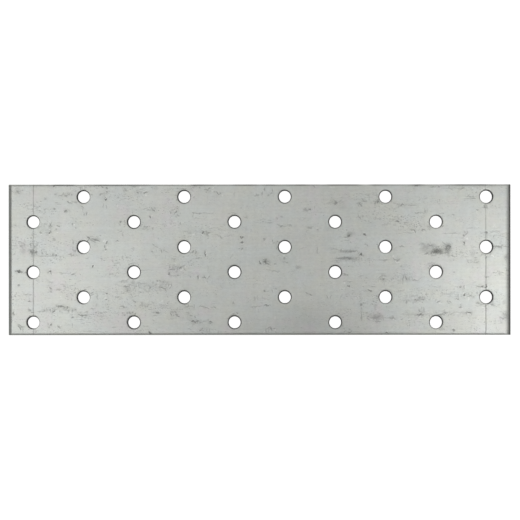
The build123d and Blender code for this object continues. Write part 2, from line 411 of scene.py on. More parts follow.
STREAKS = [
    (-79.79, 25.58, -78.75, 25.82, 0.45, 0.34), (-77.56, 25.66, -76.37, 25.66, 0.65, 0.4),
    (-81.34, 22.71, -80.35, 22.59, 0.45, 0.34), (-80.35, 22.31, -79.15, 22.15, 0.3, 0.34),
    (-76.45, 23.23, -75.05, 22.43, 0.65, 0.4), (-74.57, 23.15, -72.78, 23.03, 0.35, 0.56),
    (-85.76, 20.24, -84.33, 20.24, 0.42, 0.34), (-77.88, 19.57, -76.6, 19.49, 0.62, 0.76),
    (-71.19, 21.44, -70.08, 20.72, 0.62, 0.34), (-70.55, 20.36, -70.51, 19.17, 0.35, 0.34),
    (-68.8, 18.97, -68.76, 17.77, 0.6, 0.4), (-69.84, 18.37, -69.76, 17.58, 0.42, 0.34),
    (-82.85, 14.67, -83.69, 13.16, 0.62, 0.34), (-80.74, 13.83, -79.63, 13.16, 0.6, 0.4),
    (-74.38, 14.67, -74.45, 13.79, 0.5, 0.34), (-87.43, 13.32, -86.24, 13.4, 0.4, 0.34),
    (-85.52, 10.81, -84.33, 10.85, 0.28, 0.34), (-63.55, 25.98, -62.43, 26.25, 0.6, 0.4),
    (-62.83, 29.32, -62.19, 28.84, 0.6, 0.34), (-62.19, 22.23, -62.27, 20.96, 0.32, 0.34),
    (-60.92, 21.76, -60.88, 20.48, 0.32, 0.34), (-67.41, 26.02, -66.33, 25.74, 0.35, 0.34),
    (-95.31, 5.99, -94.6, 4.84, 0.42, 0.44), (-93.8, 6.55, -93.24, 5.51, 0.45, 0.44),
    (-94.88, 6.71, -94.04, 6.79, 0.28, 0.34), (-91.09, 6.47, -90.94, 5.51, 0.6, 0.34),
    (-90.86, 6.71, -90.14, 6.63, 0.5, 0.34), (-89.98, 6.39, -90.22, 5.51, 0.5, 0.34),
    (-89.82, 5.59, -89.18, 5.43, 0.55, 0.34), (-89.1, 5.67, -88.31, 5.91, 0.35, 0.34),
    (-91.49, 3.6, -90.62, 2.89, 0.8, 0.48), (-89.98, 4.16, -90.54, 2.49, 0.75, 0.44),
    (-89.66, 2.89, -88.55, 3.05, 0.75, 0.48), (-89.5, 1.53, -81.54, 1.49, 0.3, 0.34),
    (-86.72, 4.04, -86.56, 2.45, 0.22, 0.48), (-86, 4.32, -85.52, 3.24, 0.22, 0.48),
    (-85.12, 3.44, -84.96, 2.05, 0.2, 0.48), (-76.13, 2.05, -74.93, 2.13, 0.42, 0.44),
    (-75.01, 1.61, -73.98, 1.69, 0.55, 0.34), (-74.3, 5.04, -74.22, 3.28, 0.3, 0.44),
    (-73.42, 4, -73.34, 2.89, 0.4, 0.48), (-74.38, 7.74, -74.3, 6.47, 0.32, 0.34),
    (-68.64, 9.26, -67.37, 7.98, 0.78, 0.4), (-67.61, 8.46, -68.88, 7.27, 0.6, 0.34),
    (-67.01, 8.66, -65.38, 8.1, 0.55, 0.34), (-66.02, 8.22, -63.63, 7.5, 0.78, 0.36),
    (-67.21, 7.98, -65.38, 6.95, 0.55, 0.34), (-67.45, 9.26, -66.25, 9.26, 0.32, 0.34),
    (-61.04, 6.47, -60.6, 7.19, 0.85, 0.4), (-61.64, 5.63, -61.4, 4.4, 0.55, 0.34),
    (-83.13, -5.31, -82.89, -5.87, 0.55, 0.34), (-80.35, -5, -75.17, -5.39, 0.26, 0.56),
    (-74.93, -5.87, -73.66, -5.83, 0.7, 0.4), (-97.07, -4.52, -94.36, -4.76, 0.75, 0.4),
    (-93.88, -5, -92.69, -5, 0.45, 0.4), (-82.34, 8.22, -81.34, 7.9, 0.35, 0.64),
    (-84.13, -8.82, -82.14, -8.9, 0.22, 0.72), (-83.77, -10.81, -82.81, -11.64, 0.55, 0.34),
    (-93.48, -13.67, -92.29, -13.75, 0.36, 0.44), (-92.21, -16.46, -90.78, -16.74, 0.6, 0.4),
    (-92.05, -19.73, -91.09, -20.04, 0.45, 0.72), (-90.94, -20.84, -89.9, -21, 0.5, 0.44),
    (-98.02, -20.64, -97.94, -21.88, 0.55, 0.64), (-79.79, -18.73, -77.96, -18.61, 0.78, 0.44),
    (-79.95, -18.01, -78.75, -18.17, 0.35, 0.34), (-84.8, -19.33, -84.41, -19.8, 0.45, 0.34),
    (-83.41, -19.73, -83.25, -20.52, 0.6, 0.34), (-82.18, -20.92, -81.38, -19.8, 0.75, 0.4),
    (-88.15, -20.6, -85.68, -20.68, 0.35, 0.34), (-79.47, -19.96, -79.39, -20.6, 0.42, 0.34),
    (-77.8, -19.96, -76.37, -20.12, 0.45, 0.4), (-74.69, -19.8, -74.57, -20.6, 0.7, 0.34),
    (-73.5, -19.57, -73.42, -20.44, 0.6, 0.34), (-71.83, -21.84, -70.31, -22.07, 0.75, 0.4),
    (-70.23, -22.11, -68.64, -22.31, 0.55, 0.34), (-71.75, -20.96, -71.11, -20.76, 0.35, 0.34),
    (-64.02, -21, -62.03, -20.96, 0.28, 0.34), (-63.83, -22.31, -62.11, -22.31, 0.48, 0.34),
    (-83.57, -26.09, -82.73, -25.58, 0.8, 0.34), (-80.43, -26.49, -79.31, -27.09, 0.55, 0.4),
    (-74.61, -25.54, -74.49, -26.41, 0.42, 0.34), (-96.35, -25.86, -95.16, -27.69, 0.58, 0.34),
    (-95.87, -25.62, -94.44, -26.89, 0.52, 0.34), (-94.52, -27.29, -94.2, -28.48, 0.36, 0.34),
    (-94.92, -26.57, -93.64, -26.65, 0.4, 0.34), (-77, -14.55, -76.21, -14.95, 0.42, 0.34),
    (-64.74, -14.07, -64.42, -15.66, 0.3, 0.56), (-70.79, -28.48, -63.63, -28.56, 0.25, 0.34),
    (-54.07, 27.73, -52.64, 27.41, 0.5, 0.48), (-53.99, 28.6, -53.04, 28.2, 0.5, 0.34),
    (-50.89, 29.08, -49.3, 29.16, 0.5, 0.34), (-48.5, 27.93, -45.71, 28.2, 0.3, 0.34),
    (-49.14, 26.97, -48.34, 26.49, 0.68, 0.34), (-48.34, 26.49, -47.86, 27.05, 0.55, 0.34),
    (-46.19, 26.77, -44.68, 27.01, 0.8, 0.48), (-42.93, 20.64, -42.61, 19.84, 0.5, 0.34),
    (-42.41, 19.84, -41.57, 19.13, 0.65, 0.34), (-44.44, 19.57, -42.93, 19.53, 0.3, 0.34),
    (-43.64, 17.38, -43.4, 16.74, 0.95, 0.4), (-55.43, 15.39, -55.31, 14.67, 0.65, 0.34),
    (-53.83, 15.7, -53.59, 14.91, 0.55, 0.34), (-47.46, 12.36, -44.28, 12.28, 0.34, 0.34),
    (-46.03, 12.84, -45.39, 13.08, 0.3, 0.34), (-55.59, 11.41, -55.11, 11.41, 0.4, 0.34),
    (-54.55, 11.17, -54.27, 9.26, 0.28, 0.48), (-56.9, 7.62, -56.02, 7.54, 0.85, 0.44),
    (-42.53, 6.15, -42.13, 5.83, 0.42, 0.34), (-41.81, 5.59, -40.54, 4.92, 0.45, 0.34),
    (-41.17, 3.84, -40.94, 3.36, 0.32, 0.34), (-39.22, 4, -39.06, 2.81, 0.5, 0.34),
    (-37.43, 3.52, -36.48, 2.97, 0.34, 0.34), (-35.6, 19.21, -35.44, 18.41, 0.48, 0.34),
    (-34.57, 19.69, -33.85, 20.24, 0.45, 0.34), (-32.97, 20.56, -32.5, 20.2, 0.65, 0.34),
    (-33.85, 18.49, -33.13, 19.45, 0.8, 0.44), (-34.96, 20.96, -33.37, 21.36, 0.2, 0.34),
    (-31.62, 14.91, -31.54, 14.19, 0.4, 0.34), (-26.76, 18.85, -26.21, 18.57, 0.5, 0.34),
    (-26.45, 18.49, -26.6, 16.98, 0.26, 0.34), (-25.65, 18.49, -23.18, 18.33, 0.5, 0.36),
    (-23.18, 18.73, -18.24, 18.49, 0.26, 0.34), (-25.81, 16.58, -23.82, 16.5, 0.25, 0.34),
    (-20.23, 28.36, -19.68, 28.68, 0.6, 0.34), (-21.99, 27.97, -20.95, 27.81, 0.45, 0.34),
    (-26.6, 29.48, -25.41, 29.32, 0.5, 0.34), (-30.19, 11.33, -27.8, 11.09, 0.3, 0.34),
    (-28.59, 10.77, -27, 10.61, 0.4, 0.34), (-25.41, 10.93, -23.02, 10.81, 0.32, 0.34),
    (-21.99, 11.25, -21.27, 11.48, 0.45, 0.34), (-21.27, 11.48, -21.07, 10.37, 0.45, 0.34),
    (-20.87, 10.29, -20.71, 9.41, 0.5, 0.34), (-20.71, 10.53, -19.6, 10.85, 0.6, 0.4),
    (-21.71, 3.36, -21.63, 1.53, 1, 0.44), (-26.68, 2.81, -26.29, 3.52, 0.6, 0.34),
    (-25.41, 3.68, -25.33, 1.61, 0.45, 0.52), (-28.99, 2.73, -26.6, 2.85, 0.34, 0.34),
    (-25.41, 0.54, -23.42, 0.78, 0.4, 0.34), (-34.96, 0.5, -33.53, 0.02, 0.32, 0.34),
    (-30.82, 28.28, -29.07, 28.2, 0.42, 0.34), (-57.1, -1.41, -55.74, -1.41, 0.34, 0.52),
    (-51.37, -1.45, -48.9, -1.17, 0.36, 0.34), (-47.54, -4.2, -42.93, -4.12, 0.2, 0.34),
    (-55.82, -8.74, -52.24, -7.86, 0.34, 0.6), (-58.05, -9.45, -52.48, -11.6, 0.18, 0.4),
    (-54.07, -10.49, -52.24, -10.61, 0.62, 0.4), (-51.92, -10.09, -51.29, -9.93, 0.5, 0.34),
    (-52.16, -10.81, -51.68, -11.13, 0.45, 0.34), (-50.73, -10.25, -49.69, -10.49, 0.42, 0.34),
    (-51.52, -11.29, -51.29, -12.08, 0.42, 0.34), (-51.45, -13.67, -50.81, -14.31, 0.4, 0.34),
    (-48.5, -9.3, -45.95, -9.41, 0.36, 0.34), (-48.02, -9.45, -47.94, -10.49, 0.5, 0.34),
    (-46.11, -10.57, -44.52, -10.49, 0.3, 0.34), (-42.45, -8.5, -42.45, -9.45, 0.32, 0.34),
    (-39.98, -8.22, -39.26, -8.7, 0.4, 0.34), (-41.81, -10.33, -40.86, -9.69, 0.42, 0.34),
    (-41.97, -10.61, -39.34, -10.81, 0.42, 0.34), (-39.74, -10.97, -37.67, -11.48, 0.72, 0.4),
    (-37.67, -11.48, -37.11, -12.48, 0.5, 0.34), (-38.55, -8.74, -36.95, -8.78, 0.52, 0.34),
    (-36.72, -9.06, -37.27, -10.09, 0.42, 0.34), (-37.27, -10.17, -37.19, -11.68, 0.36, 0.34),
    (-38.47, -8.9, -38.15, -9.53, 0.36, 0.34), (-36.24, -9.69, -36.2, -10.33, 0.55, 0.34),
    (-35.2, -9.77, -35.08, -10.41, 0.55, 0.34), (-36.32, -5, -35.84, -6.11, 0.65, 0.44),
    (-35.56, -6.31, -32.97, -6.35, 0.3, 0.34), (-35.96, -2.29, -35.6, -3.4, 0.5, 0.34),
    (-35.6, -3.92, -33.93, -3.52, 0.65, 0.34), (-33.93, -4.04, -33.29, -3.56, 0.65, 0.34),
    (-32.81, -3.16, -31.94, -2.93, 0.55, 0.34), (-32.02, -3.16, -30.74, -2.97, 0.82, 0.44),
    (-31.06, -2.73, -29.95, -2.17, 0.42, 0.34), (-30.43, -3.48, -29.47, -4.12, 0.36, 0.34),
    (-34.01, -0.06, -33.85, -0.7, 0.38, 0.34), (-33.77, -2.37, -33.13, -2.93, 0.36, 0.34),
    (-24.57, -6.51, -24.34, -7.46, 0.78, 0.4), (-22.07, -6.67, -21.35, -7.54, 0.72, 0.44),
    (-20.63, -7.23, -19.92, -6.51, 0.45, 0.34), (-20.63, -2.53, -20.55, -4.52, 0.18, 0.34),
    (-50.09, -16.54, -49.45, -17.02, 0.6, 0.34), (-50.81, -16.18, -49.45, -16.5, 0.34, 0.34),
    (-47.62, -18.13, -46.67, -17.02, 0.36, 0.34), (-47.3, -16.86, -46.27, -18.05, 0.36, 0.34),
    (-47.54, -18.25, -46.11, -18.13, 0.32, 0.34), (-45.63, -17.89, -45.55, -19.01, 0.36, 0.34),
    (-44.64, -17.66, -44.64, -18.77, 0.36, 0.34), (-44.52, -17.77, -43.88, -17.26, 0.32, 0.34),
    (-39.34, -18.29, -35.76, -18.21, 0.28, 0.34), (-55.51, -18.61, -54.47, -18.37, 0.5, 0.34),
    (-54.47, -18.45, -53.28, -18.97, 0.55, 0.44), (-42.81, -21, -41.33, -20.92, 0.4, 0.34),
    (-41.33, -20.92, -39.74, -21.04, 0.72, 0.48), (-42.81, -22.27, -40.7, -22.19, 0.36, 0.34),
    (-35.44, -20.84, -34.96, -22.11, 0.65, 0.44), (-34.57, -21.08, -33.77, -20.84, 0.42, 0.34),
    (-33.61, -20.36, -33.37, -21.32, 0.48, 0.34), (-33.37, -21.4, -31.78, -22.83, 0.62, 0.44),
    (-33.77, -21.8, -32.73, -22.51, 0.36, 0.34), (-36.95, -23.55, -33.61, -23.47, 0.2, 0.34),
    (-29.23, -21.16, -27.96, -21.32, 0.3, 0.6), (-27.64, -22.11, -26.92, -22.43, 0.5, 0.34),
    (-25.81, -22.51, -25.57, -23.07, 0.5, 0.34), (-27.08, -24.66, -26.29, -24.18, 0.88, 0.44),
    (-26.29, -24.34, -25.41, -24.98, 0.75, 0.44), (-25.49, -24.66, -24.37, -24.42, 0.8, 0.4),
    (-23.82, -25.1, -21.43, -24.5, 0.42, 0.34), (-20.71, -24.18, -20.16, -24.5, 0.65, 0.34),
    (-20.23, -24.58, -19.12, -24.9, 0.88, 0.48), (-29.47, -17.42, -28.75, -17.73, 0.5, 0.34),
    (-29.39, -18.53, -28.59, -18.77, 0.6, 0.34), (-30.43, -17.34, -29.39, -17.97, 0.45, 0.34),
    (-28.36, -17.97, -28.44, -18.61, 0.4, 0.34), (-28.2, -18.57, -26.6, -18.69, 0.36, 0.34),
    (-26.05, -18.05, -25.97, -19.09, 0.38, 0.34), (-23.82, -18.53, -22.23, -18.69, 0.45, 0.34),
    (-22.46, -18.65, -19.84, -19.61, 0.5, 0.44), (-23.42, -27.61, -22.38, -27.21, 0.52, 0.34),
    (-22.86, -28.24, -22.15, -28.01, 0.32, 0.34), (-23.34, -29.04, -22.46, -29.28, 0.45, 0.34),
    (-21.03, -27.37, -20.95, -28.8, 0.42, 0.34), (-20.23, -27.21, -20.2, -28.8, 0.42, 0.34),
    (-28.59, -27.29, -27.56, -27.77, 0.3, 0.34), (-44.12, -28.64, -43.48, -29.52, 0.95, 0.52),
    (-46.35, -26.41, -44.36, -26.41, 0.22, 0.48), (-58.69, -27.05, -57.26, -26.81, 0.26, 0.44),
    (-17.05, 26.93, -16.41, 26.21, 0.65, 0.34), (-16.41, 25.9, -16.02, 26.13, 0.5, 0.34),
    (-2.32, 25.66, -0.17, 25.74, 0.36, 0.64), (1.86, 28.52, 1.94, 27.57, 0.5, 0.34),
    (1.02, 27.09, 1.06, 25.34, 0.34, 0.34), (4.21, 26.17, 4.92, 26.53, 0.65, 0.4),
    (5.04, 28.28, 5.12, 27.17, 0.4, 0.34), (-10.04, 27.33, -10.04, 25.34, 0.18, 0.34),
    (-6.14, 17.06, -4.87, 16.9, 0.28, 0.6), (-0.73, 15.86, 2.46, 16.1, 0.2, 0.48),
    (1.02, 15.07, 1.74, 15.23, 0.36, 0.44), (3.65, 15.7, 4.69, 15.7, 0.36, 0.34),
    (3.09, 14.75, 5.08, 14.67, 0.38, 0.34), (-1.52, 14.75, 0.86, 14.59, 0.16, 0.34),
    (8.27, 17.22, 9.22, 17.22, 0.34, 0.48), (6.84, 14.03, 8.43, 13.63, 0.3, 0.34),
    (8.43, 13.32, 9.22, 13.55, 0.68, 0.56), (9.22, 13.2, 10.66, 13.4, 0.26, 0.34),
    (11.37, 13.79, 12.81, 13.55, 0.34, 0.56), (19.34, 12.68, 21.17, 12.92, 0.42, 0.56),
    (18.54, 11.01, 19.41, 12.04, 0.2, 0.34), (-17.29, 9.81, -15.86, 9.57, 0.3, 0.52),
    (-15.86, 9.41, -14.82, 8.7, 0.42, 0.56), (-12.67, 9.57, -11.32, 9.65, 0.3, 0.6),
    (-7.5, 8.9, -6.3, 9.02, 0.78, 0.52), (-7.5, 6.75, -6.46, 6.99, 0.85, 0.48), (1.74, 7.82, 1.98, 8.62, 0.48, 0.52),
    (4.96, 7.9, 5.12, 7.34, 0.55, 0.34), (6.84, 5.12, 6.91, 4.32, 0.5, 0.34), (-11.68, 0.66, -10.6, 1.93, 0.25, 0.52),
    (15.99, 4.32, 18.38, 5.04, 0.2, 0.34), (19.57, 19.84, 20.29, 19.92, 0.72, 0.6),
    (17.58, 19.96, 19.41, 19.84, 0.42, 0.64), (17.19, 19.13, 18.38, 19.69, 0.25, 0.34),
    (17.98, 20.72, 18.78, 20.88, 0.22, 0.34), (21.88, 21.76, 21.92, 20.16, 0.28, 0.34),
    (-11.32, 18.57, -9.25, 18.65, 0.3, 0.34), (-12.47, 18.25, -11.48, 18.57, 0.25, 0.34),
    (0.07, -0.54, 0.43, -1.73, 0.8, 0.4), (2.46, -0.06, 2.85, 0.42, 0.55, 0.34),
    (2.77, -1.41, 4.29, -2.21, 0.7, 0.48), (10.18, -1.02, 11.29, -1.29, 0.65, 0.4),
    (9.22, -0.7, 10.1, -0.94, 0.3, 0.34), (14.48, -3.24, 15.99, -3.16, 0.4, 0.4),
    (14.8, -2.45, 16.63, -2.85, 0.3, 0.34), (4.45, -4.2, 8.03, -4.84, 0.3, 0.52),
    (2.85, -3.88, 4.84, -4.2, 0.2, 0.34), (1.82, -12.72, 3.65, -12.56, 0.28, 0.34),
    (4.96, -12.08, 5.08, -12.8, 0.55, 0.34), (6.12, -11.6, 6.84, -11.52, 0.45, 0.34),
    (1.66, -18.21, 4.05, -18.05, 0.66, 0.4), (-3.12, -18.77, 0.86, -18.45, 0.32, 0.34),
    (-1.92, -14.79, -1.8, -16.06, 0.32, 0.34), (-0.97, -14.47, -0.89, -15.9, 0.26, 0.34),
    (1.06, -14.63, 1.1, -15.66, 0.2, 0.34), (1.26, -15.51, 3.65, -15.66, 0.22, 0.34),
    (-10.52, -16.78, -10.36, -17.5, 0.42, 0.48), (-18.24, -18.77, -17.45, -19.17, 0.48, 0.34),
    (-19.28, -19.01, -18.64, -19.17, 0.3, 0.34), (-19.04, -17.66, -17.29, -17.42, 0.2, 0.34),
    (18.38, -13.04, 19.81, -13.83, 0.42, 0.34), (19.81, -13.83, 20.85, -13.95, 0.72, 0.4),
    (2.85, -27.29, 3.89, -26.93, 0.48, 0.34), (4.29, -26.97, 4.84, -27.93, 0.56, 0.34),
    (5.48, -27.29, 6.04, -27.21, 0.48, 0.34), (2.46, -27.21, 2.54, -28.8, 0.36, 0.34),
    (3.65, -27.61, 3.69, -28.8, 0.3, 0.34), (-0.53, -19.8, -0.53, -20.84, 0.22, 0.34),
    (21.33, 29.48, 22.2, 28.92, 0.5, 0.34), (27.54, 22.79, 28.89, 22.55, 0.38, 0.34),
    (29.84, 23.59, 30.48, 22.55, 0.55, 0.34), (31.28, 22.71, 32.55, 23.59, 0.48, 0.34),
    (31.91, 24.78, 35.9, 24.94, 0.15, 0.34), (38.84, 22.47, 39.88, 22.79, 0.4, 0.34),
    (39.72, 22.39, 40.59, 21.36, 0.75, 0.4), (40.67, 22.47, 40.43, 21.36, 0.55, 0.34),
    (40.99, 23.98, 42.11, 22.95, 0.6, 0.34), (40.83, 23.27, 42.5, 23.15, 0.55, 0.34),
    (42.5, 22.87, 41.63, 24.22, 0.32, 0.34), (45.77, 22.31, 46.56, 23.59, 0.62, 0.48),
    (47.2, 23.75, 47.52, 22.55, 0.5, 0.34), (46.56, 26.53, 47.04, 25.74, 0.34, 0.34),
    (46.8, 25.34, 47.2, 24.7, 0.4, 0.34), (53.41, 22.55, 56.6, 21.68, 0.3, 0.48),
    (56.12, 21.6, 57.23, 21.84, 0.66, 0.44), (58.75, 21.68, 62.17, 21.52, 0.45, 0.34),
    (39.4, 17.54, 40.27, 16.26, 0.52, 0.34), (38.84, 16.98, 39.64, 16.9, 0.32, 0.34),
    (54.57, 15.31, 55.52, 15.15, 0.82, 0.48), (57.55, 14.59, 58.67, 14.91, 0.38, 0.34),
    (48.79, 13.79, 51.66, 14.19, 0.26, 0.76), (18.78, 12.84, 20.61, 12.44, 0.26, 0.48),
    (41.39, 10.09, 42.27, 9.93, 1, 0.48), (35.34, 10.85, 35.42, 9.41, 0.5, 0.48),
    (35.74, 9.81, 36.53, 10.53, 0.52, 0.34), (33.59, 8.9, 35.34, 8.7, 0.55, 0.4),
    (33.11, 7.62, 35.5, 7.7, 0.25, 0.34), (42.03, 6.15, 42.98, 5.59, 0.45, 0.4),
    (55.56, 5.31, 57.63, 5.27, 0.48, 0.4), (46.88, 6.07, 47.12, 4.56, 0.6, 0.34),
    (23.08, 4.88, 23.12, 2.81, 0.36, 0.4), (28.49, 4.4, 31.52, 3.92, 0.36, 0.48),
    (31.91, 3.52, 35.5, 3.4, 0.42, 0.34), (35.66, 3.36, 38.68, 3.36, 0.72, 0.52),
    (30.32, 0.42, 33.91, 0.74, 0.62, 0.44), (33.51, 0.74, 36.69, 0.34, 0.78, 0.52),
    (35.9, 0.22, 38.92, -0.06, 0.42, 0.34), (39.6, 0.9, 39.68, -0.14, 0.42, 0.34),
    (36.77, -0.22, 37.17, -0.78, 0.36, 0.34), (37.81, -0.38, 37.97, -1.02, 0.36, 0.34),
    (53.25, 0.34, 54.61, -0.38, 0.66, 0.44), (54.92, -0.34, 55.88, 0.38, 0.38, 0.34),
    (49.03, -0.34, 51.02, 0.06, 0.36, 0.44), (46.25, -0.14, 51.82, -0.14, 0.2, 0.34),
    (29.92, -0.3, 32.07, -0.54, 0.36, 0.34), (30.24, -1.17, 31.91, -1.02, 0.3, 0.34),
    (33.11, -5.47, 35.1, -6.35, 0.5, 0.52), (33.31, -8.58, 34.3, -8.58, 0.32, 0.34),
    (35.1, -8.82, 36.69, -8.7, 0.38, 0.34), (35.06, -10.57, 35.78, -10.41, 0.82, 0.6),
    (39.48, -6.83, 41.47, -6.35, 0.25, 0.72), (47.6, -5.47, 49.83, -5.43, 0.25, 0.34),
    (47.76, -6.99, 48.63, -6.51, 0.45, 0.34), (48.87, -6.27, 50.31, -6.75, 0.42, 0.34),
    (49.67, -8.1, 49.67, -10.09, 0.25, 0.34), (52.46, -8.02, 53.33, -7.38, 0.5, 0.64),
    (52.77, -7.23, 53.65, -6.67, 0.34, 0.34), (53.81, -6.27, 55.56, -6.75, 0.22, 0.34),
    (57.31, -6.43, 56.91, -8.1, 0.62, 0.4), (56.91, -8.5, 56.84, -9.53, 0.42, 0.34),
    (58.07, -6.43, 58.63, -8.1, 0.72, 0.44), (59.46, -6.67, 59.62, -8.02, 0.46, 0.34),
    (44.41, -10.73, 45.69, -10.69, 0.38, 0.34), (44.65, -9.77, 45.69, -9.77, 0.22, 0.34),
    (43.14, -12.12, 44.57, -12.48, 0.72, 0.44), (40.67, -12.36, 43.06, -12.4, 0.28, 0.34),
    (46.48, -14.39, 47.28, -14.95, 0.5, 0.34), (47.2, -14.23, 47.44, -15.51, 0.48, 0.34),
    (26.74, -14.47, 27.54, -15.59, 0.38, 0.34), (28.29, -14.23, 28.05, -15.59, 0.38, 0.34),
    (23.16, -16.86, 25.94, -16.98, 0.2, 0.34), (40.04, -17.81, 40.83, -17.93, 0.62, 0.34),
    (40.43, -18.45, 40.59, -19.65, 0.3, 0.34), (40.47, -20.6, 40.59, -24.02, 0.45, 0.44),
    (46.05, -17.66, 45.85, -20.44, 0.2, 0.88), (44.02, -23.15, 46.48, -23.55, 0.55, 0.52),
    (46.25, -23.23, 48, -22.35, 0.5, 0.52), (47.44, -21.48, 49.03, -22.67, 0.36, 0.44),
    (45.61, -22.27, 46.72, -21.64, 0.48, 0.34), (45.05, -24.38, 46.25, -24.5, 0.36, 0.34),
    (46.17, -24.7, 47.84, -24.7, 0.56, 0.4), (51.18, -23.23, 52.62, -23.23, 0.44, 0.34),
    (52.93, -22.51, 53.65, -23.47, 0.56, 0.34), (56.76, -21.88, 62.17, -21.88, 0.28, 0.34),
    (33.51, -28.72, 34.3, -28.48, 0.45, 0.34), (35.1, -29.04, 36.53, -28.64, 0.65, 0.52),
    (50.39, -28.96, 51.02, -29.16, 0.95, 0.48), (58.43, -16.06, 58.47, -17.5, 0.48, 0.34),
    (56.6, -16.14, 58.19, -16.18, 0.32, 0.34), (56.99, -15.27, 60.58, -15.11, 0.15, 0.34),
    (61.77, 29.16, 62.81, 29.56, 0.7, 0.48), (67.9, 28.88, 69.81, 29, 0.45, 0.34),
    (73.32, 28.52, 82.07, 28.28, 0.3, 0.34), (79.84, 27.97, 81.28, 28.6, 0.58, 0.34),
    (62.17, 18.69, 63.44, 18.81, 0.56, 0.4), (63.36, 18.73, 66.31, 18.65, 0.28, 0.34),
    (65.83, 20.24, 65.91, 18.81, 0.36, 0.34), (66.79, 20.16, 66.79, 18.97, 0.3, 0.34),
    (71.72, 18.49, 73.48, 18.41, 0.36, 0.34), (76.5, 17.7, 77.3, 17.81, 0.42, 0.4),
    (82.47, 25.22, 85.66, 25.06, 0.48, 0.34), (83.67, 24.3, 86.13, 24.46, 0.48, 0.34),
    (81.28, 24.3, 83.67, 24.34, 0.25, 0.34), (70.73, 23.95, 70.81, 22.55, 0.2, 0.34),
    (73.71, 22.39, 78.89, 22.15, 0.12, 0.34), (89.6, 21.84, 89.64, 20.56, 0.62, 0.48),
    (90.51, 21.6, 90.55, 20.64, 0.52, 0.44), (89, 20.72, 90.91, 20.64, 0.42, 0.34),
    (89.4, 10.61, 90.91, 10.49, 0.42, 0.34), (91.63, 11.01, 95.61, 11.25, 0.24, 0.52),
    (94.02, 11.41, 95.61, 11.09, 0.22, 0.6), (81.91, 9.81, 82.87, 10.69, 0.55, 0.34),
    (81.44, 7.11, 81.52, 5.83, 0.82, 0.44), (73.32, 10.41, 79.69, 10.49, 0.36, 0.34),
    (61.61, 14.03, 61.69, 12.6, 0.32, 0.34), (61.29, 11.8, 62.05, 11.09, 0.85, 0.48),
    (57.39, 10.85, 60.58, 10.93, 0.3, 0.34), (64.56, 11.72, 65.59, 11.88, 0.56, 0.64),
    (67.11, 13.24, 67.9, 12.76, 0.4, 0.34), (64.16, 6.31, 65.83, 6.59, 0.38, 0.4),
    (67.11, 6.15, 68.94, 5.35, 0.68, 0.48), (68.7, 5.67, 70.29, 5.27, 0.46, 0.34),
    (70.13, 5.31, 71.72, 5.43, 0.42, 0.34), (68.3, 2.85, 70.53, 3.12, 0.85, 0.6),
    (70.29, 4.32, 70.93, 3.05, 0.66, 0.56), (70.53, 2.97, 72.6, 3.05, 0.8, 0.6),
    (67.5, 3.52, 68.54, 2.57, 0.52, 0.34), (65.59, 2.33, 67.11, 2.69, 0.66, 0.44),
    (74.11, 5.91, 76.1, 5.91, 0.5, 0.56), (74.75, 4.64, 73.87, 3.05, 0.5, 0.6),
    (73.48, 2.73, 74.99, 2.93, 0.66, 0.52), (75.07, 2.73, 75.55, 1.77, 0.6, 0.4),
    (68.54, 1.65, 70.13, 1.69, 0.36, 0.34), (76.26, 1.53, 77.93, 1.29, 0.5, 0.4),
    (93.06, 5.12, 96.41, 5.23, 0.6, 0.44), (95.61, 4.8, 96.8, 5.75, 0.5, 0.34), (96.41, 5.43, 98.79, 5.12, 0.4, 0.34),
    (87.81, 1.25, 89.08, 2.05, 0.32, 0.34), (85.5, 0.66, 86.37, 0.82, 0.42, 0.52),
    (60.34, -6.67, 60.98, -7.94, 0.36, 0.34), (60.98, -8.1, 63.2, -8.42, 0.46, 0.52),
    (63.2, -8.26, 64.4, -7.07, 0.3, 0.34), (66.95, -8.42, 69.34, -8.5, 0.2, 0.34),
    (67.11, -1.81, 69.49, -1.25, 0.32, 0.52), (67.34, -2.85, 68.54, -2.13, 0.52, 0.34),
    (65.75, -10.09, 68.94, -10.21, 0.15, 0.34), (68.94, -10.65, 71.72, -11.21, 0.3, 0.4),
    (71.72, -13.48, 78.09, -13.75, 0.26, 0.44), (74.11, -14.67, 76.5, -14.67, 0.2, 0.34),
    (79.65, -10.73, 80.16, -10.97, 0.56, 0.44), (81.36, -10.41, 81.44, -11.29, 0.62, 0.34),
    (82.07, -10.01, 89.24, -10.17, 0.16, 0.34), (86.61, -10.61, 87.89, -10.81, 0.56, 0.4),
    (88.05, -10.89, 89.08, -10.77, 0.78, 0.56), (90.12, -10.01, 90.12, -11.52, 0.9, 0.56),
    (89.56, -6.83, 90.83, -6.75, 0.56, 0.4), (81.16, -14.23, 81.91, -13.59, 1, 0.48),
    (83.27, -14.47, 84.3, -14.79, 0.5, 0.34), (82.23, -13.87, 83.43, -13.99, 0.26, 0.34),
    (78.09, -15.66, 79.37, -15.9, 0.6, 0.4), (61.65, -15.94, 63.2, -15.82, 0.72, 0.44),
    (63.12, -15.78, 64.16, -15.66, 0.36, 0.34), (64.4, -15.74, 65.59, -15.82, 0.66, 0.4),
    (60.98, -14.67, 62.57, -14.59, 0.26, 0.34), (58.75, -16.18, 60.58, -16.18, 0.32, 0.34),
    (60.74, -16.22, 61.21, -17.66, 0.25, 0.34), (70.45, -17.1, 71.72, -16.42, 0.56, 0.4),
    (74.51, -16.42, 75.15, -16.94, 0.38, 0.34), (75.31, -16.66, 76.34, -17.18, 0.45, 0.44),
    (79.45, -18.93, 80.56, -19.09, 0.5, 0.34), (86.21, -17.38, 87.49, -17.46, 0.56, 0.4),
    (88.05, -17.66, 88.52, -18.45, 0.55, 0.34), (90.16, -18.05, 90.23, -19.25, 0.6, 0.4),
    (91.39, -17.73, 93.46, -17.97, 0.56, 0.4), (93.22, -18.49, 94.26, -18.69, 0.5, 0.34),
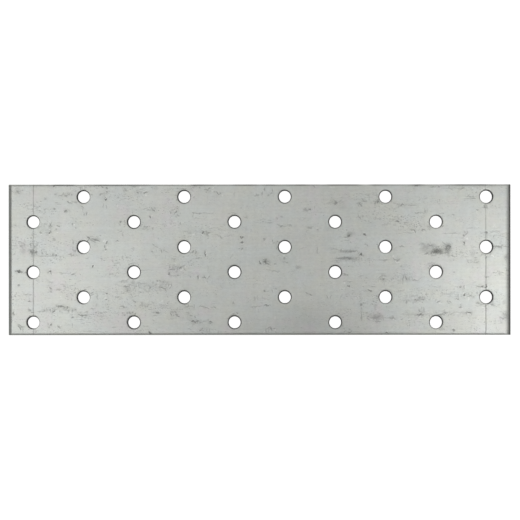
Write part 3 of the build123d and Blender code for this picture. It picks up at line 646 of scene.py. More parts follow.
    (90.43, -17.58, 92.03, -17.81, 0.42, 0.34), (63.36, -19.8, 63.52, -20.68, 0.56, 0.34),
    (63.52, -20.68, 64.88, -21.08, 0.56, 0.34), (65.43, -19.25, 65.51, -20.92, 0.32, 0.34),
    (64.32, -19.01, 64.4, -19.88, 0.32, 0.34), (58.19, -21.88, 62.97, -21.91, 0.26, 0.34),
    (62.41, -22.03, 64.96, -21.84, 0.85, 0.44), (64.72, -21.72, 67.74, -21.64, 0.28, 0.34),
    (67.74, -21.72, 69.34, -22.27, 0.3, 0.34), (71.09, -21.99, 73.55, -21.72, 0.5, 0.44),
    (73.32, -20.76, 74.11, -21.24, 0.66, 0.34), (74.11, -21, 75.31, -20.92, 0.56, 0.4),
    (75.07, -22.27, 75.39, -21.4, 0.36, 0.34), (75.86, -21.84, 76.98, -21.4, 0.44, 0.34),
    (76.9, -20.96, 81.68, -21.16, 0.24, 0.34), (81.84, -21.12, 82.87, -20.92, 0.5, 0.34),
    (82.87, -21.16, 84.3, -21.04, 0.85, 0.48), (96.8, -21, 97.44, -22.03, 0.45, 0.34),
    (98, -21.64, 98.4, -23.23, 0.42, 0.34), (82.63, 0.1, 83.03, -1.17, 0.32, 0.34),
    (84.06, -1.17, 84.86, -0.94, 0.38, 0.34), (85.42, -0.94, 86.93, -1.41, 0.44, 0.48),
    (58.19, -25.22, 63.36, -24.82, 0.1, 0.34),
]
SPECKS = [
    (-96.27, 27.13, 0.6, 0.44), (-95.75, 26.45, 0.45, 0.34), (-94.44, 27.53, 0.4, 0.34), (-81.86, 29.24, 0.7, 0.34),
    (-81.34, 26.25, 0.45, 0.34), (-78.16, 26.33, 0.4, 0.34), (-76.29, 26.21, 0.6, 0.34), (-75.45, 26.45, 0.4, 0.34),
    (-74.85, 25.98, 0.45, 0.34), (-85.32, 24.34, 0.35, 0.52), (-81.62, 20.24, 0.5, 0.4), (-82.89, 13.28, 0.5, 0.34),
    (-73.14, 12.8, 0.5, 0.34), (-83.65, 10.89, 0.95, 0.44), (-80.94, 12.28, 0.42, 0.34), (-88.19, 13.16, 0.45, 0.34),
    (-87.15, 10.81, 0.42, 0.34), (-61.95, 25.5, 0.35, 0.34), (-61.28, 24.3, 1, 0.46), (-60.8, 28.56, 0.65, 0.34),
    (-60.76, 27.13, 0.85, 0.34), (-71.11, 28.44, 0.45, 0.34), (-69.84, 28.36, 0.4, 0.34), (-90.46, 2.09, 0.5, 0.48),
    (-89.66, 1.77, 0.35, 0.34), (-82.02, 1.93, 0.6, 0.4), (-80.98, 1.85, 0.75, 0.36), (-72.82, 1.85, 0.4, 0.34),
    (-61.24, 4.16, 0.7, 0.34), (-62.91, 0.34, 0.42, 0.34), (-66.33, -2.69, 1, 0.44), (-83.41, -4.6, 0.85, 0.4),
    (-84.05, -4.84, 0.42, 0.34), (-95.87, -4.64, 0.95, 0.6), (-95.91, -10.09, 0.5, 0.44),
    (-83.13, -12.72, 0.35, 0.34), (-84.21, -12.72, 0.28, 0.34), (-80.82, -18.21, 0.42, 0.34),
    (-80.19, -18.61, 0.7, 0.4), (-77.64, -18.77, 0.6, 0.34), (-76.6, -19.05, 0.65, 0.34), (-85.68, -20.24, 0.5, 0.34),
    (-82.42, -19.53, 0.45, 0.34), (-75.85, -20.2, 0.5, 0.34), (-72.03, -21.6, 0.65, 0.34),
    (-68.84, -20.76, 0.42, 0.34), (-65.18, -21, 0.45, 0.34), (-64.5, -22.11, 0.36, 0.34), (-74.41, -22.75, 0.7, 0.4),
    (-84.25, -25.74, 0.4, 0.34), (-83.77, -26.85, 0.4, 0.34), (-78.79, -13.04, 0.32, 0.34),
    (-76.25, -15.78, 0.36, 0.34), (-74.73, -15.74, 0.32, 0.34), (-61.12, -15.78, 0.9, 0.4),
    (-60.84, -13.24, 0.85, 0.34), (-56.7, 21.91, 0.25, 0.34), (-51.48, 28.01, 0.4, 0.34), (-47.11, 27.05, 0.42, 0.34),
    (-41.57, 20.32, 0.36, 0.34), (-44.8, 13.24, 0.6, 0.34), (-42.77, 3.28, 0.5, 0.34), (-40.3, 8.42, 0.28, 0.34),
    (-38.07, 3.92, 0.36, 0.34), (-50.49, 4.24, 0.25, 0.64), (-32.42, 17.77, 0.5, 0.52), (-31.54, 18.41, 0.32, 0.34),
    (-33.29, 17.22, 0.25, 0.34), (-20.79, 27.97, 0.68, 0.34), (-21.27, 27.17, 0.4, 0.34), (-19.6, 27.33, 0.34, 0.34),
    (-26.37, 28.84, 0.42, 0.34), (-23.98, 28.92, 0.4, 0.34), (-22.58, 10.73, 0.9, 0.46), (-33.85, 0.38, 0.36, 0.34),
    (-32.73, 28.36, 0.3, 0.34), (-33.45, 25.74, 0.42, 0.34), (-32.89, 23.91, 0.32, 0.34), (-53.67, -3.56, 0.4, 0.34),
    (-52, -1.97, 0.4, 0.34), (-48.34, -2.13, 0.4, 0.34), (-49.14, -10.57, 0.45, 0.34), (-49.77, -11.29, 0.42, 0.34),
    (-52.64, -12.32, 0.52, 0.44), (-52.16, -13.12, 0.36, 0.34), (-43.88, -10.49, 0.42, 0.34),
    (-43.48, -11.05, 0.65, 0.34), (-40.7, -8.34, 0.48, 0.34), (-35.68, -11.13, 0.55, 0.34),
    (-32.58, -6.19, 0.55, 0.34), (-34.57, -2.93, 0.42, 0.34), (-32.73, -3.64, 0.55, 0.34), (-36.88, -2.37, 0.3, 0.34),
    (-27.28, -0.42, 0.45, 0.34), (-28.36, -0.94, 0.28, 0.34), (-27.48, -6.83, 0.34, 0.34),
    (-22.54, -7.11, 0.48, 0.34), (-20.87, -8.66, 0.32, 0.34), (-54.55, -21.16, 0.36, 0.34),
    (-53.75, -22.19, 0.45, 0.34), (-52.64, -21, 0.5, 0.34), (-51.92, -20.92, 0.55, 0.34),
    (-51.29, -21.48, 0.38, 0.34), (-50.53, -20.96, 0.5, 0.34), (-49.45, -21.4, 0.55, 0.34),
    (-34.88, -20.44, 0.32, 0.34), (-23.82, -24.94, 0.55, 0.44), (-19.68, -25.38, 0.65, 0.34),
    (-26.01, -25.38, 0.42, 0.34), (-23.58, -28.13, 0.6, 0.34), (-17.93, 27.21, 0.32, 0.34),
    (-15.62, 26.41, 0.4, 0.34), (3.49, 25.66, 0.4, 0.34), (7.07, 16.38, 0.25, 0.48), (-8.09, 4.4, 0.45, 0.34),
    (-6.94, 4.28, 0.55, 0.4), (5.8, 6.63, 0.38, 0.34), (7.15, 7.19, 0.45, 0.34), (9.9, 0.58, 0.45, 0.4),
    (2.14, -0.62, 0.95, 0.76), (1.46, -0.06, 0.6, 0.34), (6.2, -1.45, 0.6, 0.4), (9.82, 0.42, 0.4, 0.34),
    (1.9, -12.32, 0.6, 0.4), (-2.96, -18.77, 0.45, 0.34), (-8.89, -21.08, 0.6, 0.34), (-10.28, -21.48, 0.34, 0.34),
    (28.93, 23.19, 0.32, 0.34), (30.4, 22.71, 0.75, 0.52), (39.44, 21.6, 0.38, 0.34), (47.2, 23.03, 0.85, 0.48),
    (45.61, 23.43, 0.34, 0.34), (54.77, 21.99, 0.4, 0.34), (52.46, 23.19, 0.34, 0.34), (41.11, 17.22, 0.34, 0.34),
    (58.75, 15.59, 0.42, 0.34), (23.08, 11.88, 0.45, 0.44), (35.42, 9.53, 0.92, 0.54), (36.13, 10.69, 0.42, 0.34),
    (36.29, 7.03, 0.38, 0.34), (32.35, 3.68, 0.55, 0.34), (40.35, 2.05, 1, 0.52), (41.35, 1.89, 0.4, 0.34),
    (39.6, 1.21, 0.45, 0.34), (38.48, 0.66, 0.55, 0.34), (54.8, -0.26, 0.7, 0.4), (56.4, -2.53, 0.36, 0.52),
    (33.67, -6.11, 0.5, 0.34), (33.31, -4.52, 0.3, 0.34), (42.5, -7.15, 0.36, 0.52), (49.27, -7.86, 0.7, 0.44),
    (48.24, -7.74, 0.52, 0.34), (55.52, -8.26, 0.3, 0.52), (40.43, -18.13, 0.72, 0.4), (40.47, -23.03, 0.4, 0.34),
    (41.47, -22.83, 0.25, 0.34), (46.09, -18.05, 0.3, 0.48), (43.34, -22.63, 0.55, 0.34), (47.64, -21.4, 0.52, 0.34),
    (54.05, -23.71, 0.4, 0.34), (52.54, -23.63, 0.36, 0.34), (33.67, -27.41, 0.34, 0.34), (35.82, -27.73, 0.4, 0.34),
    (41.87, -27.61, 0.2, 0.34), (33.11, -23.03, 0.42, 0.34), (32.91, -26.21, 0.32, 0.34), (71.37, 28.92, 0.55, 0.34),
    (80.08, 28.12, 0.55, 0.34), (80.56, 29, 0.36, 0.34), (86.81, 19.77, 0.68, 0.5), (90.16, 10.61, 0.85, 0.48),
    (88.28, 10.61, 0.25, 0.48), (81.2, 9.61, 0.6, 0.34), (81.68, 10.81, 0.4, 0.34), (82.99, 11.01, 0.32, 0.34),
    (61.02, 12, 0.45, 0.34), (60.58, 11.72, 0.36, 0.34), (72.92, 13.24, 0.48, 0.34), (65.67, 5.59, 0.32, 0.4),
    (69.34, 3.84, 0.66, 0.44), (71.96, 3.76, 0.56, 0.44), (75.19, 5.23, 0.95, 0.88), (96.25, 4.8, 0.52, 0.34),
    (93.62, 4.64, 0.42, 0.34), (90.2, 0.9, 0.55, 0.44), (92.03, 2.25, 0.32, 0.34), (98.16, 0.82, 0.4, 0.64),
    (68.78, -2.25, 0.55, 0.34), (67.34, -3.4, 0.38, 0.34), (90.16, -7.07, 0.4, 0.34), (85.26, -14.71, 0.34, 0.34),
    (78.05, -14.79, 0.32, 0.34), (63.96, -15.15, 0.45, 0.34), (64.88, -15.07, 0.5, 0.34), (70.13, -16.06, 0.25, 0.34),
    (75.23, -17.3, 0.34, 0.34), (80.08, -17.97, 0.28, 0.34), (87.01, -17.18, 0.45, 0.34), (88.92, -17.77, 0.45, 0.34),
    (95.45, -17.85, 0.28, 0.34), (70.29, -21.08, 0.5, 0.34), (73.59, -22.03, 0.42, 0.34), (82.07, -21.48, 0.38, 0.34),
    (84.42, -21.64, 0.4, 0.34), (77.22, -27.97, 0.66, 0.48), (97, -23.55, 0.6, 0.44), (95.81, -23.03, 0.34, 0.34),
    (97.84, -23.23, 0.42, 0.34), (73.52, -24.02, 0.25, 0.34), (83.27, -1.25, 0.52, 0.34), (84.06, -0.14, 0.26, 0.34),
    (87.17, -0.7, 0.34, 0.34),
]
BRIGHT = [
    (-97.46, 28.52, 0.6, 0.34), (-97.7, 27.49, 0.5, 0.34), (-94.28, 28.84, 0.5, 0.34), (-80.59, 29.4, 0.7, 0.34),
    (-83.45, 15.27, 0.5, 0.34), (-83.77, 14.19, 0.7, 0.34), (-73.86, 13.99, 0.8, 0.34), (-73.54, 12.88, 0.6, 0.34),
    (-83.45, 11.76, 0.7, 0.34), (-80.51, 11.09, 0.7, 0.34), (-86.99, 9.97, 0.5, 0.34), (-61.08, 25.02, 0.9, 0.34),
    (-61.87, 25.58, 0.5, 0.34), (-94.44, 5.91, 0.45, 0.34), (-90.54, 5.99, 0.5, 0.34), (-89.9, 3.36, 0.5, 0.34),
    (-61.16, 7.58, 0.8, 0.34), (-62.07, 7.3, 0.7, 0.34), (-60.68, 5.04, 0.7, 0.34), (-61.24, 3.44, 0.8, 0.34),
    (-66.73, -2.61, 0.6, 0.34), (-65.78, -2.13, 0.5, 0.34), (-83.81, -4.12, 0.6, 0.34), (-81.46, -21.48, 0.5, 0.34),
    (-75.37, -20.92, 0.5, 0.48), (-83.53, -26.49, 0.5, 0.34), (-79.27, -26.05, 0.6, 0.34),
    (-79.03, -15.27, 0.6, 0.34), (-79.15, -14.27, 0.5, 0.34), (-61.64, -15.11, 0.7, 0.34), (-61, -16.46, 0.4, 0.34),
    (-62.11, -15.66, 0.4, 0.34), (-56.46, 21.4, 0.5, 0.34), (-45.12, 25.66, 0.6, 0.34), (-47.5, 28.92, 0.7, 0.34),
    (-42.97, 17.58, 0.7, 0.34), (-44, 16.5, 0.4, 0.34), (-42.21, 3.8, 0.4, 0.34), (-30.43, 14.67, 0.45, 0.34),
    (-25.49, 29.48, 0.6, 0.34), (-26.29, 10.29, 0.65, 0.34), (-27.4, 9.81, 0.3, 0.34), (-51.68, -10.53, 0.7, 0.34),
    (-44.04, -10.97, 0.4, 0.34), (-40.54, -9.02, 0.7, 0.44), (-39.22, -9.3, 0.6, 0.34), (-35.76, -10.41, 0.75, 0.34),
    (-33.41, -2.13, 0.6, 0.34), (-31.18, -4.12, 0.7, 0.34), (-34.17, -1.13, 0.4, 0.34), (-29.55, -2.77, 0.5, 0.34),
    (-21.43, -8.38, 0.5, 0.34), (-21.27, -9.06, 0.5, 0.34), (-44.28, -16.22, 0.6, 0.34), (-43.88, -17.42, 0.45, 0.34),
    (-38.75, -16.26, 0.5, 0.34), (-39.58, -17.34, 0.35, 0.34), (-29.31, -18.29, 0.6, 0.34),
    (-27.96, -17.81, 0.5, 0.34), (-27.72, -17.1, 0.4, 0.34), (-18.44, 28.36, 0.6, 0.34), (-18.72, 27.49, 0.4, 0.34),
    (-14.9, 25.82, 0.6, 0.34), (-2.52, 25.26, 0.4, 0.34), (-2.24, 28.92, 0.6, 0.34), (4.69, 27.17, 0.4, 0.34),
    (-7.34, 7.82, 0.35, 0.34), (-10.48, 3.05, 0.3, 0.34), (-8.29, 3.28, 0.3, 0.34), (4.61, 6.55, 0.45, 0.34),
    (5.64, 8.78, 0.35, 0.34), (9.82, 1.69, 0.5, 0.34), (10.42, 1.13, 0.35, 0.34), (4.17, -10.41, 0.35, 0.34),
    (1.86, -28.88, 0.7, 0.34), (6.24, -28.01, 0.6, 0.34), (6.2, -22.67, 0.35, 0.34), (6.2, -23.39, 0.35, 0.34),
    (28.33, 28.92, 0.6, 0.34), (29.69, 28.92, 0.55, 0.34), (33.31, 23.55, 0.4, 0.34), (40.51, 20.88, 0.35, 0.34),
    (54.92, 16.74, 0.4, 0.34), (41.99, 9.41, 0.4, 0.34), (41.87, 5.2, 0.3, 0.34), (32.83, 4.16, 0.6, 0.34),
    (37.49, -1.25, 0.4, 0.34), (53.01, 1.45, 0.6, 0.34), (54.41, -0.94, 0.7, 0.34), (55.6, -1.17, 0.6, 0.34),
    (33.83, -9.1, 0.7, 0.48), (49.43, -7.07, 0.65, 0.34), (57.83, -7.46, 0.6, 0.34), (59.06, -6.91, 0.5, 0.34),
    (45.05, -10.17, 0.5, 0.34), (43.98, -11.45, 0.5, 0.34), (28.57, -14.71, 0.4, 0.34), (27.46, -14.63, 0.35, 0.34),
    (39.08, -14.63, 0.4, 0.34), (38.48, -15.27, 0.4, 0.34), (39.48, -15.43, 0.4, 0.34), (45.45, -21.04, 0.7, 0.34),
    (46.48, -21.64, 0.5, 0.34), (53.25, -23.87, 0.7, 0.34), (53.81, -22.67, 0.5, 0.34), (59.38, -17.26, 0.45, 0.34),
    (61.17, -15.66, 0.4, 0.34), (84.86, 28.52, 0.5, 0.34), (93.62, 13.63, 0.5, 0.44), (93.18, 13.16, 0.4, 0.34),
    (81.72, 8.86, 0.6, 0.34), (82.67, 8.38, 0.6, 0.34), (61.69, 12.2, 0.45, 0.34), (92.78, 1.45, 0.9, 0.44),
    (81.95, -10.81, 0.7, 0.34), (81.99, -14.43, 0.45, 0.34), (83.07, -15.11, 0.7, 0.34), (83.27, -15.66, 0.5, 0.34),
    (71.56, -17.26, 0.45, 0.34), (80.72, -19.41, 0.4, 0.34), (88.72, -18.89, 0.7, 0.34), (89.28, -18.45, 0.6, 0.34),
    (63.72, -18.85, 0.35, 0.34), (74.23, -21.56, 0.8, 0.34), (75.03, -21.64, 0.5, 0.34),
]


def field(kind, x, y):
    """Strength from 0 to 1 of one kind of mark at points of the front face."""
    out = np.zeros(len(x))
    for mx, my, a, c, s in kind:
        near = np.nonzero((np.abs(x - mx) < a * 1.5 + 0.5) & (np.abs(y - my) < c * 1.5 + 0.5))[0]
        d = np.hypot((x[near] - mx) / (a + 0.15), (y[near] - my) / (c + 0.15))
        value = s * np.clip(1.45 - 1.15 * d, 0, 1)
        out[near] = np.maximum(out[near], value)
    return out


def strokes():
    """Every small mark as a bent ellipse: middle x, y, turn, half length, half width, strength."""
    rng = np.random.default_rng(41)
    out = []
    for x0, y0, x1, y1, s, w in STREAKS:
        length, turn = math.hypot(x1 - x0, y1 - y0), math.atan2(y1 - y0, x1 - x0)
        out.append(((x0 + x1) / 2, (y0 + y1) / 2, turn, length / 2 + 0.15, w * 0.54, s))
    for x, y, s, r in SPECKS:
        out.append((x, y, rng.uniform(-0.6, 0.6), r * rng.uniform(0.85, 1.10), r * 0.80, s))
    for mx, my, a, c, s in SCRIBBLES:
        for n in range(max(2, int(round(4 * a * c * CROWD)))):
            x, y = mx + rng.uniform(-1, 1) * a, my + rng.uniform(-1, 1) * c
            turn = rng.normal(0, 0.35) if rng.random() < 0.75 else rng.uniform(-1.4, 1.4)
            out.append((x, y, turn, 0.22 * math.exp(rng.uniform(0, 1.45)), rng.uniform(0.15, 0.27), min(s * rng.uniform(0.40, 1.15), 1.0)))
    for n in range(LOOSE):
        x, y = rng.uniform(-HALF_L + 1.5, HALF_L - 1.5), rng.uniform(-HALF_W + 1.2, HALF_W - 1.2)
        busy = 0.5 + 0.5 * float(soft_noise(x / 9, y / 3.5, 51)) + 0.25 * float(soft_noise(x / 3, y / 1.5, 52))
        busy *= np.interp(abs(x), [5, 50], [0.45, 1.0])
        turn = rng.normal(0, 0.30) if rng.random() < 0.8 else rng.uniform(-1.5, 1.5)
        size = 0.20 * math.exp(rng.uniform(0, 1.8))
        out.append((x, y, turn, size, rng.uniform(0.13, 0.24), float(np.clip(busy, 0, 1)) ** 1.5 * rng.uniform(0.12, 0.55)))
    return out


CROWD, LOOSE = 0.70, 620


def grime(marks, x, y):
    """The soft grey halo round the marks, denser where they crowd."""
    out = np.zeros(len(x))
    for mx, my, turn, a, c, s in marks:
        if s < 0.28:
            continue
        a, c = a + 0.9, c + 0.75
        near = np.nonzero((np.abs(x - mx) < 1.5 * a) & (np.abs(y - my) < 1.5 * a))[0]
        dx, dy = x[near] - mx, y[near] - my
        d = np.hypot((dx * math.cos(turn) + dy * math.sin(turn)) / a, (dy * math.cos(turn) - dx * math.sin(turn)) / c)
        out[near] += 0.095 * s * np.clip(1.4 - d, 0, 1)
    return np.minimum(out, 0.18)


def spread(marks, x, y, count):
    """Where each point lies in the frame of the mark nearest it, in half lengths and half widths, and that mark's strength.
    Marks close to each other go into different layers."""
    layers = [np.concatenate([np.full((len(x), 2), 9.0), np.zeros((len(x), 1))], 1) for _ in range(count)]
    reached = [np.full(len(x), 9.0) for _ in range(count)]
    placed = [[] for _ in range(count)]
    order = np.argsort([-m[5] for m in marks])
    cell = {}
    for i, (px, py) in enumerate(zip(np.floor(x / 2).astype(int), np.floor(y / 2).astype(int))):
        cell.setdefault((px, py), []).append(i)
    cell = {k: np.array(v) for k, v in cell.items()}
    for number in order:
        mx, my, turn, a, c, s = marks[number]
        clash = [sum(max(abs(mx - ox) - a - oa, abs(my - oy) - 0.7) < 1.0 for ox, oy, oa in placed[n]) for n in range(count)]
        n = int(np.argmin(clash))
        placed[n].append((mx, my, a))
        reach = a + 1.2
        cells = [cell[(i, j)] for i in range(math.floor((mx - reach) / 2), math.floor((mx + reach) / 2) + 1) for j in range(math.floor((my - reach) / 2), math.floor((my + reach) / 2) + 1) if (i, j) in cell]
        if not cells:
            continue
        near = np.concatenate(cells)
        dx, dy = x[near] - mx, y[near] - my
        along, beside = dx * math.cos(turn) + dy * math.sin(turn), -dx * math.sin(turn) + dy * math.cos(turn)
        out = np.hypot(np.maximum(np.abs(along) - max(a - c, 0), 0), beside) - c
        take = out < np.minimum(reached[n][near], 1.1)
        near, along, beside, out = near[take], along[take], beside[take], out[take]
        reached[n][near] = out
        flip = 1 if int(number) % 2 else -1
        layers[n][near, 0] = along / a
        layers[n][near, 1] = beside / c * flip
        layers[n][near, 2] = s * np.clip(1.6 - out / 0.6, 0, 1)
    return layers


on_front = np.nonzero(co[:, 2] > THICK - 0.7)[0]
fx, fy = co[on_front, 0], co[on_front, 1]
soil, fleck = (np.zeros(len(co)) for _ in range(2))
drawn = strokes()
soil[on_front] = np.maximum(field(SMUDGES, fx, fy) * 1.15, grime(drawn, fx, fy))
fleck[on_front] = field(SCRIBBLES, fx, fy)
mark_layers = []
# the fifth layer holds the BRIGHT spots, painted highlights beside the marks
for layer in spread(drawn, fx, fy, 4) + spread([(x, y, 0.3, r, r * 0.75, s) for x, y, s, r in BRIGHT], fx, fy, 1):
    full = np.tile((9.0, 9.0, 0.0), (len(co), 1))
    full[on_front] = layer
    mark_layers.append(full)

# ---------------------------------------------------------------- mesh object
mesh = bpy.data.meshes.new("plate_skin")
lengths = np.where(faces[:, 3] >= 0, 4, 3)
flat = np.concatenate([f[:n] for f, n in zip(faces, lengths)])
mesh.vertices.add(len(co))
mesh.vertices.foreach_set("co", (co * MM).astype(np.float32).ravel())
mesh.loops.add(len(flat))
mesh.loops.foreach_set("vertex_index", flat.astype(np.int32))
mesh.polygons.add(len(faces))
starts = np.concatenate([[0], np.cumsum(lengths)[:-1]])
mesh.polygons.foreach_set("loop_start", starts.astype(np.int32))
mesh.update(calc_edges=True)
mesh.validate()
mesh.polygons.foreach_set("use_smooth", np.ones(len(mesh.polygons), bool))
mesh.set_sharp_from_angle(angle=math.radians(42))
# the cut attribute holds the cut walls and also the painted shade on the hole rims and the darkened edge bands
for name, values in (("soil", soil), ("fleck", fleck), ("cut", cut), ("torn", torn), ("scribe", scribe)):
    layer = mesh.attributes.new(name, "FLOAT", "POINT")
    layer.data.foreach_set("value", values.astype(np.float32))
for number, values in enumerate(mark_layers):
    layer = mesh.attributes.new(f"mark_{number + 1}", "FLOAT_VECTOR", "POINT")
    layer.data.foreach_set("vector", values.astype(np.float32).ravel())

# ---------------------------------------------------------------- map of the surface, for a square of 1024
PX = 1.0 / 1024
SCALE = 5.08 * PX  # map units per mm
loop_vertex = np.zeros(len(mesh.loops), np.int32)
mesh.loops.foreach_get("vertex_index", loop_vertex)
normals = np.zeros(len(mesh.polygons) * 3, np.float32)
mesh.polygons.foreach_get("normal", normals)
normals = normals.reshape(-1, 3)
starts = np.zeros(len(mesh.polygons), np.int32)
mesh.polygons.foreach_get("loop_start", starts)
lengths = np.zeros(len(mesh.polygons), np.int32)
mesh.polygons.foreach_get("loop_total", lengths)
loop_face = np.repeat(np.arange(len(starts)), lengths)
centre = np.zeros(len(mesh.polygons) * 3, np.float32)
mesh.polygons.foreach_get("center", centre)
centre = centre.reshape(-1, 3) / MM
uv = np.zeros((len(loop_vertex), 2))
P = co[loop_vertex]
C = centre[loop_face]
N = normals[loop_face]
# front and back: flat, one above the other
uv[:, 0] = 4 * PX + (P[:, 0] + HALF_L) * SCALE
front_part = C[:, 2] > 1.2
uv[:, 1] = np.where(front_part, 715 * PX + (P[:, 1] + HALF_W) * SCALE, 402 * PX + (P[:, 1] + HALF_W) * SCALE)
# outer walls: four strips
wall_v = 10.0 * PX  # per mm of height
is_outer = (np.abs(N[:, 2]) < 0.75) & ((np.abs(C[:, 0]) > HALF_L - 0.25) | (np.abs(C[:, 1]) > HALF_W - 0.25)) & (C[:, 2] < 1.75)
for k, (axis, sign) in enumerate(((1, -1), (1, 1), (0, -1), (0, 1))):
    pick = is_outer & (np.abs(N[:, axis]) > np.abs(N[:, 1 - axis])) & (np.sign(C[:, axis]) == sign)
    along = P[:, 1 - axis] + (HALF_L if axis == 1 else HALF_W)
    row = (372, 344, 316, 316)[k]
    shift = (4, 4, 4, 330)[k]
    uv[pick, 0] = shift * PX + along[pick] * SCALE
    uv[pick, 1] = row * PX + P[pick, 2] * wall_v
# hole walls: unrolled strips, six to a row
for k, (hx, hy) in enumerate(HOLES):
    pick = (np.abs(N[:, 2]) < 0.75) & (np.hypot(C[:, 0] - hx, C[:, 1] - hy) < HOLE_R + 0.35) & (C[:, 2] < 1.75)
    turn = np.arctan2(P[pick, 1] - hy, P[pick, 0] - hx)
    middle = np.arctan2(C[pick, 1] - hy, C[pick, 0] - hx)
    turn = middle + (turn - middle + math.pi) % (2 * math.pi) - math.pi
    uv[pick, 0] = (6 + 168 * (k % 6)) * PX + (turn + math.pi) / (2 * math.pi) * 157 * PX
    uv[pick, 1] = (280 - 28 * (k // 6)) * PX + P[pick, 2] * wall_v
layer = mesh.uv_layers.new(name="OFBake")
layer.data.foreach_set("uv", uv.astype(np.float32).ravel())

plate = bpy.data.objects.new("plate_skin", mesh)
bpy.context.scene.collection.objects.link(plate)


# ---------------------------------------------------------------- materials
class Nodes:
    """Small helpers for node trees."""

    def __init__(self, tree):
        self.tree = tree
        tree.nodes.clear()

    def node(self, kind, **settings):
        n = self.tree.nodes.new(kind)
        for key, value in settings.items():
            setattr(n, key, value)
        return n

    def link(self, a, z):
        self.tree.links.new(a, z)

    def feed(self, socket, value):
        if isinstance(value, bpy.types.NodeSocket):
            self.link(value, socket)
        else:
            socket.default_value = value

    def math(self, operation, a, z=0.0, c=0.0, clamp=False):
        n = self.node("ShaderNodeMath", operation=operation, use_clamp=clamp)
        self.feed(n.inputs[0], a)
        self.feed(n.inputs[1], z)
        self.feed(n.inputs[2], c)
        return n.outputs[0]

    def vector(self, operation, a, z=(0, 0, 0)):
        n = self.node("ShaderNodeVectorMath", operation=operation)
        self.feed(n.inputs[0], a)
        self.feed(n.inputs[1], z)
        return n.outputs["Value"] if operation in ("DOT_PRODUCT", "LENGTH") else n.outputs["Vector"]

    def noise(self, vector, scale, detail=2.0, roughness=0.5, distortion=0.0, w=None):
        n = self.node("ShaderNodeTexNoise", noise_dimensions="3D" if w is None else "4D")
        self.feed(n.inputs["Vector"], vector)
        if w is not None:
            n.inputs["W"].default_value = w
        n.inputs["Scale"].default_value = scale
        n.inputs["Detail"].default_value = detail
        n.inputs["Roughness"].default_value = roughness
        n.inputs["Distortion"].default_value = distortion
        return n.outputs[0]

    def ramp(self, value, low, high, to_low=0.0, to_high=1.0, smooth=True):
        n = self.node("ShaderNodeMapRange", interpolation_type="SMOOTHSTEP" if smooth else "LINEAR")
        self.feed(n.inputs["Value"], value)
        self.feed(n.inputs["From Min"], low)
        self.feed(n.inputs["From Max"], high)
        self.feed(n.inputs["To Min"], to_low)
        self.feed(n.inputs["To Max"], to_high)
        return n.outputs[0]

    def mix(self, factor, a, z):
        n = self.node("ShaderNodeMix", data_type="RGBA")
        self.feed(n.inputs[0], factor)
        for socket, value in ((n.inputs[6], a), (n.inputs[7], z)):
            self.feed(socket, (*value, 1.0) if isinstance(value, tuple) and len(value) == 3 else value)
        return n.outputs[2]

    def scale_colour(self, colour, factor):
        n = self.node("ShaderNodeVectorMath", operation="SCALE")
        self.feed(n.inputs[0], colour)
        self.feed(n.inputs["Scale"], factor)
        return n.outputs["Vector"]

    def attribute(self, name):
        return self.node("ShaderNodeAttribute", attribute_name=name).outputs["Fac"]


steel = bpy.data.materials.new("galvanised_steel")
steel.use_nodes = True
t = Nodes(steel.node_tree)
mm = t.vector("MULTIPLY", t.node("ShaderNodeTexCoord").outputs["Object"], (1000.0, 1000.0, 1000.0))

# slow changes of tone over the sheet, and the faint streaks of the rolling direction
cloud = t.noise(mm, 0.045, 3, 0.55)
patch = t.noise(t.vector("MULTIPLY", mm, (0.09, 0.14, 0.1)), 1.0, 3, 0.6, w=3.7)
rolling = t.noise(t.vector("MULTIPLY", mm, (0.035, 1.15, 0.6)), 1.0, 4, 0.6)
across = t.noise(t.vector("MULTIPLY", mm, (0.55, 0.05, 0.2)), 1.0, 3, 0.6)
mottle = t.noise(t.vector("MULTIPLY", mm, (0.7, 1.0, 1.0)), 1.25, 5, 0.62)
grain = t.noise(mm, 5.5, 3, 0.6)

tone_and_shade = t.ramp(cloud, 0.25, 0.75, 0.955, 1.045, smooth=False)
tone_and_shade = t.math("MULTIPLY", tone_and_shade, t.ramp(rolling, 0.25, 0.75, 0.965, 1.035, smooth=False))
tone_and_shade = t.math("MULTIPLY", tone_and_shade, t.ramp(across, 0.25, 0.75, 0.975, 1.025, smooth=False))
tone_and_shade = t.math("MULTIPLY", tone_and_shade, t.ramp(mottle, 0.25, 0.75, 0.930, 1.070, smooth=False))
tone_and_shade = t.math("MULTIPLY", tone_and_shade, t.ramp(grain, 0.2, 0.8, 0.97, 1.03, smooth=False))

tint_a = t.ramp(patch, 0.40, 0.62)
tint_b = t.ramp(t.noise(t.vector("MULTIPLY", mm, (0.12, 0.10, 0.1)), 1.0, 3, 0.6, w=9.1), 0.52, 0.70)
zinc = t.mix(tint_a, (0.640, 0.652, 0.618), (0.628, 0.655, 0.632))
zinc = t.mix(tint_b, zinc, (0.650, 0.642, 0.632))
tint_c = t.noise(t.vector("MULTIPLY", mm, (0.17, 0.22, 0.2)), 1.0, 3, 0.62, w=12.4)
zinc = t.vector("MULTIPLY", zinc, t.mix(t.ramp(tint_c, 0.30, 0.70, smooth=False), (1.004, 1.004, 0.968), (0.994, 0.996, 1.016)))
# painted shade: a stretch near the lower side, right of the middle, is darkened for a dim patch of reflection
away = t.vector("LENGTH", t.vector("MULTIPLY", t.vector("SUBTRACT", mm, (21.0, -27.0, 0.0)), (0.030, 0.062, 0.0)))
tone_and_shade = t.math("MULTIPLY", tone_and_shade, t.ramp(away, 0.0, 1.0, 0.905, 1.0))
zinc = t.scale_colour(zinc, tone_and_shade)

